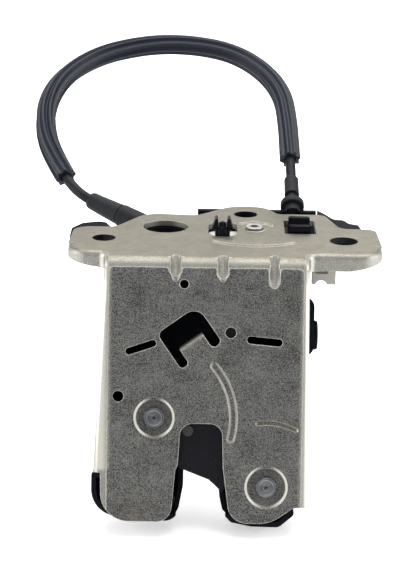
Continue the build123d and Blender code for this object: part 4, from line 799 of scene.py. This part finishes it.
class LatchColours(bpy.types.PropertyGroup):
    """Colours of the finishes"""

    face: FloatVectorProperty(
        name="Face", description="Plated face of the latch plate",
        default=(0.245, 0.245, 0.232), subtype="COLOR", size=3,
    )
    flange: FloatVectorProperty(
        name="Flange", description="Plated top of the flange",
        default=(0.275, 0.260, 0.203), subtype="COLOR", size=3,
    )
    flange_tint: FloatVectorProperty(
        name="Flange tint", description="Passivation tint of the flange",
        default=(0.284, 0.258, 0.200), subtype="COLOR", size=3,
    )
    # Painted highlight on the sheet's rims, bends and side bands, and also the colour of its scratches
    rim: FloatVectorProperty(
        name="Rims", description="Worn rims of the sheet",
        default=(0.93, 0.90, 0.80), subtype="COLOR", size=3,
    )
    rivet: FloatVectorProperty(
        name="Rivets", description="Plated rivets",
        default=(0.20, 0.205, 0.215), subtype="COLOR", size=3,
    )
    black: FloatVectorProperty(
        name="Mouldings", description="Black mouldings",
        default=(0.009, 0.010, 0.013), subtype="COLOR", size=3,
    )
    ivory: FloatVectorProperty(
        name="Bell crank", description="Ivory bell crank",
        default=(0.53, 0.515, 0.455), subtype="COLOR", size=3,
    )
    sleeve: FloatVectorProperty(
        name="Sleeve", description="Rubber of the cable's sleeve",
        default=(0.006, 0.009, 0.018), subtype="COLOR", size=3,
    )


class LatchStage(bpy.types.PropertyGroup):
    """Floor and light"""

    floor_colour: FloatVectorProperty(
        name="Floor", description="Colour of the floor",
        default=(0.95, 0.95, 0.95), subtype="COLOR", size=3,
    )
    top_power: FloatProperty(
        name="Top light", description="Power of the light above",
        default=26.0, unit="POWER",
    )
    back_power: FloatProperty(
        name="Back light", description="Power of the light behind",
        default=9.0, unit="POWER",
    )
    side_power: FloatProperty(
        name="Side lights", description="Power of each side light",
        default=7.0, unit="POWER",
    )
    front_power: FloatProperty(
        name="Front light", description="Power of the light in front",
        default=3.0, unit="POWER",
    )
    surround: FloatProperty(
        name="Surround", description="Strength of the surrounding light",
        default=0.35,
    )


# Operators

class LATCH_OT_stage(bpy.types.Operator):
    """Makes the floor, the lights, the surroundings and the camera"""

    bl_idname = "latch.stage"
    bl_label = "Stage"

    def execute(self, context):
        settings = context.scene.latch_stage
        self.make_camera(context)
        self.make_floor(settings)
        self.make_surroundings(context, settings)
        for name, place, size, power in (
            ("top_light", (0.1, 0.25, 1.25), (1.6, 1.4), settings.top_power),
            ("back_light", (0.0, 1.7, 0.75), (2.2, 0.9), settings.back_power),
            ("left_light", (-1.1, -0.15, 0.25), (0.5, 0.9), settings.side_power),
            ("right_light", (1.1, -0.15, 0.25), (0.5, 0.9), settings.side_power),
            ("front_light", (-0.35, -1.3, 0.75), (0.9, 0.5), settings.front_power),
        ):
            self.make_light(name, place, size, power)
        return {"FINISHED"}

    def make_camera(self, context):
        """The photograph's own view, rolled a little, with the photograph's frame."""
        down = radians(17.8)
        roll = radians(0.9)
        ahead = Vector((0, cos(down), -sin(down)))
        level = Vector((1, 0, 0))
        above = Vector((0, sin(down), cos(down)))
        right = cos(roll) * level + sin(roll) * above
        up = cos(roll) * above - sin(roll) * level
        camera = link("camera", bpy.data.cameras.new("camera"))
        turn = Matrix((right, up, -ahead)).transposed().to_4x4()
        camera.matrix_world = Matrix.Translation((-0.0050, -0.6377, 0.1884)) @ turn
        camera.data.sensor_width = sensor
        camera.data.lens = sensor * photo_focal / photo_height
        camera.data.clip_start = 0.01
        camera.data.clip_end = 20.0
        context.scene.camera = camera

    def make_floor(self, settings):
        """A plain pale floor just under the lowest point."""
        low = cad_box[0].z - 0.0005
        mesh = bmesh.new()
        corners = [mesh.verts.new((x, y, low)) for x, y in ((-4, -3), (4, -3), (4, 6), (-4, 6))]
        mesh.faces.new(corners)
        floor = mesh_object("floor", mesh)
        graph = new_material("floor", Roughness=0.9, Specular_IOR_Level=0.1, Emission_Strength=1.0)
        graph.give("Base Color", solid(settings.floor_colour))
        seen = graph.node("ShaderNodeLightPath").outputs["Is Camera Ray"]
        glow = graph.mix(seen, (0.0, 0.0, 0.0, 1.0), (0.5, 0.5, 0.5, 1.0))
        graph.give("Emission Color", glow)
        floor.data.materials.append(graph.material)

    def make_surroundings(self, context, settings):
        """Soft light from all round, and white where the camera sees past the floor."""
        world = bpy.data.worlds.new("surroundings")
        context.scene.world = world
        world.use_nodes = True
        graph = Graph(world.node_tree)
        background = world.node_tree.nodes["Background"]
        background.inputs["Color"].default_value = (1.0, 1.0, 1.0, 1.0)
        seen = graph.node("ShaderNodeLightPath").outputs["Is Camera Ray"]
        graph.feed(background.inputs["Strength"], graph.ramp(seen, 0.0, 1.0, settings.surround, 1.0))
        context.scene.view_settings.view_transform = "Standard"

    def make_light(self, name, place, size, power):
        """A rectangular softbox that faces the latch."""
        data = bpy.data.lights.new(name, "AREA")
        data.shape = "RECTANGLE"
        data.size, data.size_y = size
        data.energy = power
        light = link(name, data)
        light.location = place
        aim = light_aim - Vector(place)
        light.rotation_mode = "QUATERNION"
        light.rotation_quaternion = aim.to_track_quat("-Z", "Y")


class LATCH_OT_cable(bpy.types.Operator):
    """Makes the casing, the ribbed sleeve and the boots along the cable's line"""

    bl_idname = "latch.cable"
    bl_label = "Cable"

    def execute(self, context):
        sizes = context.scene.latch_sizes
        colours = context.scene.latch_colours
        line = cable_line()
        casing = spline_object("casing", sizes.casing_diameter / 2)
        casing.data.bevel_depth = 1.0
        casing.data.bevel_resolution = 8
        casing.data.use_fill_caps = True
        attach(casing, "latch_frame")
        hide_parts("cable_casing")
        sleeve = self.make_sleeve(line, sizes)
        left = self.make_left_boot(line, sizes)
        right = self.make_right_boot(line, sizes)
        jacket = moulding("casing_plastic", (0.012, 0.013, 0.016), 0.62, fineness=3.0)
        dress_new(jacket, "cable_black", casing)
        dress_new(ribbed_rubber("sleeve_rubber", tuple(colours.sleeve)), "sleeve_charcoal", sleeve)
        rubber = moulding("boot_rubber", (0.018, 0.019, 0.022), 0.5, fineness=4.0)
        dress_new(rubber, "boot_rubber", left, right)
        collar = moulding("collar_plastic", (0.016, 0.017, 0.020), 0.5, fineness=4.0)
        dress(collar, "left_collar", "cable_ring")
        return {"FINISHED"}

    def make_sleeve(self, line, sizes):
        """The sleeve: ribs along its length that turn slowly, and one deeper valley."""
        crest, valley = sizes.sleeve_crest, sizes.sleeve_valley
        ribs, twist = sizes.sleeve_ribs, sizes.sleeve_twist
        first_turn, narrowing = 0.3, 1.3
        seam_depth, seam_width = 0.0004, 0.16

        def outer(share, angle):
            turned = angle + twist * share + first_turn
            height = (0.5 + 0.5 * cos(ribs * turned)) ** narrowing
            off_seam = (turned - pi / ribs + pi) % (2 * pi) - pi
            cleft = seam_depth * exp(-(off_seam / seam_width) ** 2)
            return valley + (crest - valley) * height - cleft, height

        sleeve = tube("sleeve", line, sleeve_runs, outer, sleeve_bore, 12 * ribs, cut=0.0004)
        smooth(sleeve, 60)
        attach(sleeve, "latch_frame")
        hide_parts("cable_sleeve")
        return sleeve

    def make_left_boot(self, line, sizes):
        """The left boot, tapered from its collar to the casing, with a rounded thin end."""
        thin, thick = sizes.left_boot_thin, sizes.left_boot_thick
        taper_end, tip_start, tip_depth = 0.85, 0.9, 0.0006

        def outer(share, angle):
            tip = max(0.0, (share - tip_start) / 0.1)
            taper = min(1.0, share / taper_end)
            return thick + (thin - thick) * taper - tip_depth * tip**2, 0.0

        boot = tube("left_boot_shape", line, left_boot_runs, outer, boot_bore, 40)
        smooth(boot, 50)
        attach(boot, "latch_frame")
        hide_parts("left_boot")
        return boot

    def make_right_boot(self, line, sizes):
        """The right boot, straight, with a rounded upper end."""
        radius = sizes.right_boot_radius
        tip_end, tip_depth = 0.08, 0.0004

        def outer(share, angle):
            tip = max(0.0, (tip_end - share) / tip_end)
            return radius * (0.97 + 0.03 * share) - tip_depth * tip**2, 0.0

        boot = tube("right_boot_shape", line, right_boot_runs, outer, boot_bore, 40)
        smooth(boot, 50)
        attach(boot, "latch_frame")
        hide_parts("right_boot")
        return boot


class LATCH_OT_plates(bpy.types.Operator):
    """Finishes the latch plate and the back plate"""

    bl_idname = "latch.plates"
    bl_label = "Plates"

    def execute(self, context):
        colours = context.scene.latch_colours
        dress(plated_sheet("plated_sheet", colours), "latch_plate")
        dress(bright_steel("plated_back", (0.50, 0.50, 0.49), 0.45), "back_plate")
        return {"FINISHED"}


class LATCH_OT_rivets(bpy.types.Operator):
    """Finishes the rivets, pins and screws"""

    bl_idname = "latch.rivets"
    bl_label = "Rivets and screws"

    def execute(self, context):
        colour = tuple(context.scene.latch_colours.rivet)
        for name, pivot in (("fork_rivet", fork_pivot), ("pawl_rivet", pawl_pivot)):
            dress(bright_steel(name + "_steel", colour, 0.32, pivot, face_out), name)
        colour = (0.50, 0.50, 0.48)
        rolled = bright_steel("lever_rivet_steel", colour, 0.35, lever_rivet_top, Vector((0, 0, 1)), 1.5)
        dress(rolled, "lever_rivet")
        # The pin sits in a hole in shade, and its near-black finish is painted shade
        dress(moulding("pin_painted_shade", (0.008, 0.008, 0.009), 0.5), "release_lever_pin")
        dress(bright_steel("pin_steel", (0.30, 0.31, 0.33), 0.3), "wheel_axle")
        dress(bright_steel("screw_steel", (0.45, 0.45, 0.46), 0.35), "cover_screws")
        return {"FINISHED"}


class LATCH_OT_mouldings(bpy.types.Operator):
    """Finishes the black housings, the carrier and the connector"""

    bl_idname = "latch.mouldings"
    bl_label = "Mouldings"

    def execute(self, context):
        black = tuple(context.scene.latch_colours.black)
        finish = moulding("black_moulding", black, 0.6, rim=1.4, dust=0.01, shine=0.012)
        dress(finish, "latch_housing", "gear_housing", "gearbox_cover", "carrier")
        socket = moulding("socket_plastic", (0.010, 0.010, 0.011), 0.6)
        dress(socket, "connector_socket")
        case = moulding("switch_plastic", (0.03, 0.03, 0.035), 0.5, fineness=7.0)
        dress(case, "switch_case")
        plunger = moulding("plunger_plastic", (0.45, 0.03, 0.02), 0.6, dust=0.0)
        dress(plunger, "switch_plunger")
        buffer = moulding("buffer_rubber", (0.02, 0.02, 0.02), 0.25, fineness=3.0)
        dress(buffer, "fork_buffer")
        return {"FINISHED"}


class LATCH_OT_fork_and_pawl(bpy.types.Operator):
    """Finishes the fork, the pawl and the release lever"""

    bl_idname = "latch.fork_and_pawl"
    bl_label = "Fork and pawl"

    def execute(self, context):
        steel = bright_steel("fork_steel", (0.33, 0.33, 0.34), 0.42)
        dress(steel, "fork_core", "pawl_core", "release_lever", "lever_follower")
        black = (0.008, 0.0085, 0.012)
        jacket = moulding("fork_plastic", black, 0.5, fineness=2.4, dust=0.10, depth=0.06, pip=fork_pip)
        dress(jacket, "fork_jacket", "pawl_jacket")
        return {"FINISHED"}


class LATCH_OT_drive(bpy.types.Operator):
    """Finishes the motor, the worm and the release wheel"""

    bl_idname = "latch.drive"
    bl_label = "Drive"

    def execute(self, context):
        dress(bright_steel("motor_steel", (0.55, 0.55, 0.54), 0.3), "motor_can", "motor_shaft")
        dress(moulding("motor_plastic", (0.04, 0.04, 0.04), 0.5), "motor_end_cap")
        dress(bright_steel("worm_brass", (0.70, 0.52, 0.24), 0.25), "worm")
        gear = moulding("gear_plastic", (0.66, 0.63, 0.55), 0.5, rim=1.1, shine=0.5)
        dress(gear, "release_wheel")
        return {"FINISHED"}


class LATCH_OT_springs(bpy.types.Operator):
    """Finishes the springs, the inner wire and the contacts"""

    bl_idname = "latch.springs"
    bl_label = "Springs, wire and contacts"

    def execute(self, context):
        wire = bright_steel("spring_steel", (0.30, 0.29, 0.28), 0.3)
        dress(wire, "fork_spring", "pawl_spring", "lever_spring")
        dress(bright_steel("wire_steel", (0.5, 0.5, 0.5), 0.3), "cable_wire", "wire_nipple")
        tinned = bright_steel("contact_metal", (0.68, 0.64, 0.50), 0.25)
        dress(tinned, "motor_terminals", "connector_pins")
        # The switch terminals end behind a slot that is dark in the photograph, so they get a near-black
        # finish as painted shade
        terminal_shade = moulding("terminal_painted_shade", (0.008, 0.008, 0.009), 0.6, rim=1.2, dust=0.01, shine=0.02)
        dress(terminal_shade, "switch_terminals")
        return {"FINISHED"}


class LATCH_OT_crank(bpy.types.Operator):
    """Finishes the bell crank and its clip"""

    bl_idname = "latch.crank"
    bl_label = "Bell crank"

    def execute(self, context):
        colour = tuple(context.scene.latch_colours.ivory)
        ivory = moulding("ivory_plastic", colour, 0.55, fineness=3.0, rim=1.08, dust=0.05, shine=0.5)
        dress(ivory, "bell_crank")
        clip = self.make_clip()
        black = moulding("clip_plastic", (0.008, 0.008, 0.010), 0.7, rim=3.0, dust=0.02)
        dress_new(black, "black_moulding", clip)
        return {"FINISHED"}

    def make_clip(self):
        """The rod clip: a fluted round body, and above it a post between two hooked prongs."""
        mesh = bmesh.new()
        across, back = -0.5, 8.3      # millimetres to the middle of the body
        self.add_body(mesh, across, back)
        self.add_post(mesh, across, back - 1.0)
        for way in (-1, 1):
            self.add_prong(mesh, across, way)
        bmesh.ops.recalc_face_normals(mesh, faces=mesh.faces)
        clip = mesh_object("rod_clip_shape", mesh)
        smooth(clip, 32)
        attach(clip, "crank")
        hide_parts("rod_clip")
        return clip

    def add_body(self, mesh, across, back):
        """The body: round and with two flutes in front, square at the back, its top edge taken off."""
        radius = 2.75
        flute_depth, flute_width, flute_angle = 0.5, 0.11, 0.72
        outline = []
        for turn in range(49):
            angle = pi + pi * turn / 48
            from_front = angle - 1.5 * pi
            flutes = sum(exp(-(((from_front - way * flute_angle) / flute_width) ** 2)) for way in (-1, 1))
            reach = radius - flute_depth * flutes
            outline.append((across + reach * cos(angle), back + reach * sin(angle)))
        outline += [(across + radius, back + radius), (across - radius, back + radius)]
        levels = ((-5.7, 1.0), (2.6, 1.0), (2.9, 0.88))
        loft(mesh, [shrunk([mm * Vector((x, y, z)) for x, y in outline], share) for z, share in levels])

    def add_post(self, mesh, across, back):
        """The round post with its blunt point."""
        rings = []
        for height, radius in ((2.0, 1.25), (3.9, 1.25), (4.4, 1.05), (4.75, 0.6), (4.85, 0.2)):
            ring = []
            for turn in range(24):
                angle = 2 * pi * turn / 24
                ring.append(mm * Vector((across + radius * cos(angle), back + radius * sin(angle), height)))
            rings.append(ring)
        loft(mesh, rings)

    def add_prong(self, mesh, across, way):
        """One prong: a hook that leans outwards at its foot and in again at its point."""
        outline = (
            (1.5, 2.0), (2.7, 2.0), (3.8, 2.7), (3.3, 4.0),
            (2.8, 5.8), (2.3, 6.2), (1.8, 5.8), (1.6, 4.2),
        )
        sections = []
        for y, share in ((5.7, 0.8), (6.0, 1.0), (10.6, 1.0), (10.9, 0.8)):
            section = [mm * Vector((across + way * x, y, z)) for x, z in outline]
            sections.append(shrunk(section, share))
        loft(mesh, sections)


class LATCH_PT_panel(bpy.types.Panel):
    """Lists the latch's settings and steps"""

    bl_idname = "LATCH_PT_panel"
    bl_label = "Boot lid latch"
    bl_space_type = "VIEW_3D"
    bl_region_type = "UI"
    bl_category = "Latch"

    def draw(self, context):
        for group in ("latch_sizes", "latch_colours", "latch_stage"):
            settings = getattr(context.scene, group)
            box = self.layout.box()
            for name in settings.bl_rna.properties.keys():
                if name not in ("rna_type", "name"):
                    box.prop(settings, name)
        for step in steps:
            self.layout.operator(step.bl_idname)


steps = (
    LATCH_OT_stage,
    LATCH_OT_cable,
    LATCH_OT_plates,
    LATCH_OT_rivets,
    LATCH_OT_mouldings,
    LATCH_OT_fork_and_pawl,
    LATCH_OT_drive,
    LATCH_OT_springs,
    LATCH_OT_crank,
)
groups = {"latch_sizes": LatchSizes, "latch_colours": LatchColours, "latch_stage": LatchStage}


def register():
    """Registers the settings, the steps and the panel."""
    for name, group in groups.items():
        bpy.utils.register_class(group)
        setattr(bpy.types.Scene, name, PointerProperty(type=group))
    for step in steps:
        bpy.utils.register_class(step)
    bpy.utils.register_class(LATCH_PT_panel)


def unregister():
    """Takes away what register added."""
    bpy.utils.unregister_class(LATCH_PT_panel)
    for step in reversed(steps):
        bpy.utils.unregister_class(step)
    for name, group in groups.items():
        delattr(bpy.types.Scene, name)
        bpy.utils.unregister_class(group)


def main():
    """Runs every step in order."""
    register()
    for step in steps:
        area, name = step.bl_idname.split(".")
        getattr(getattr(bpy.ops, area), name)()


if __name__ == "__main__":
    main()
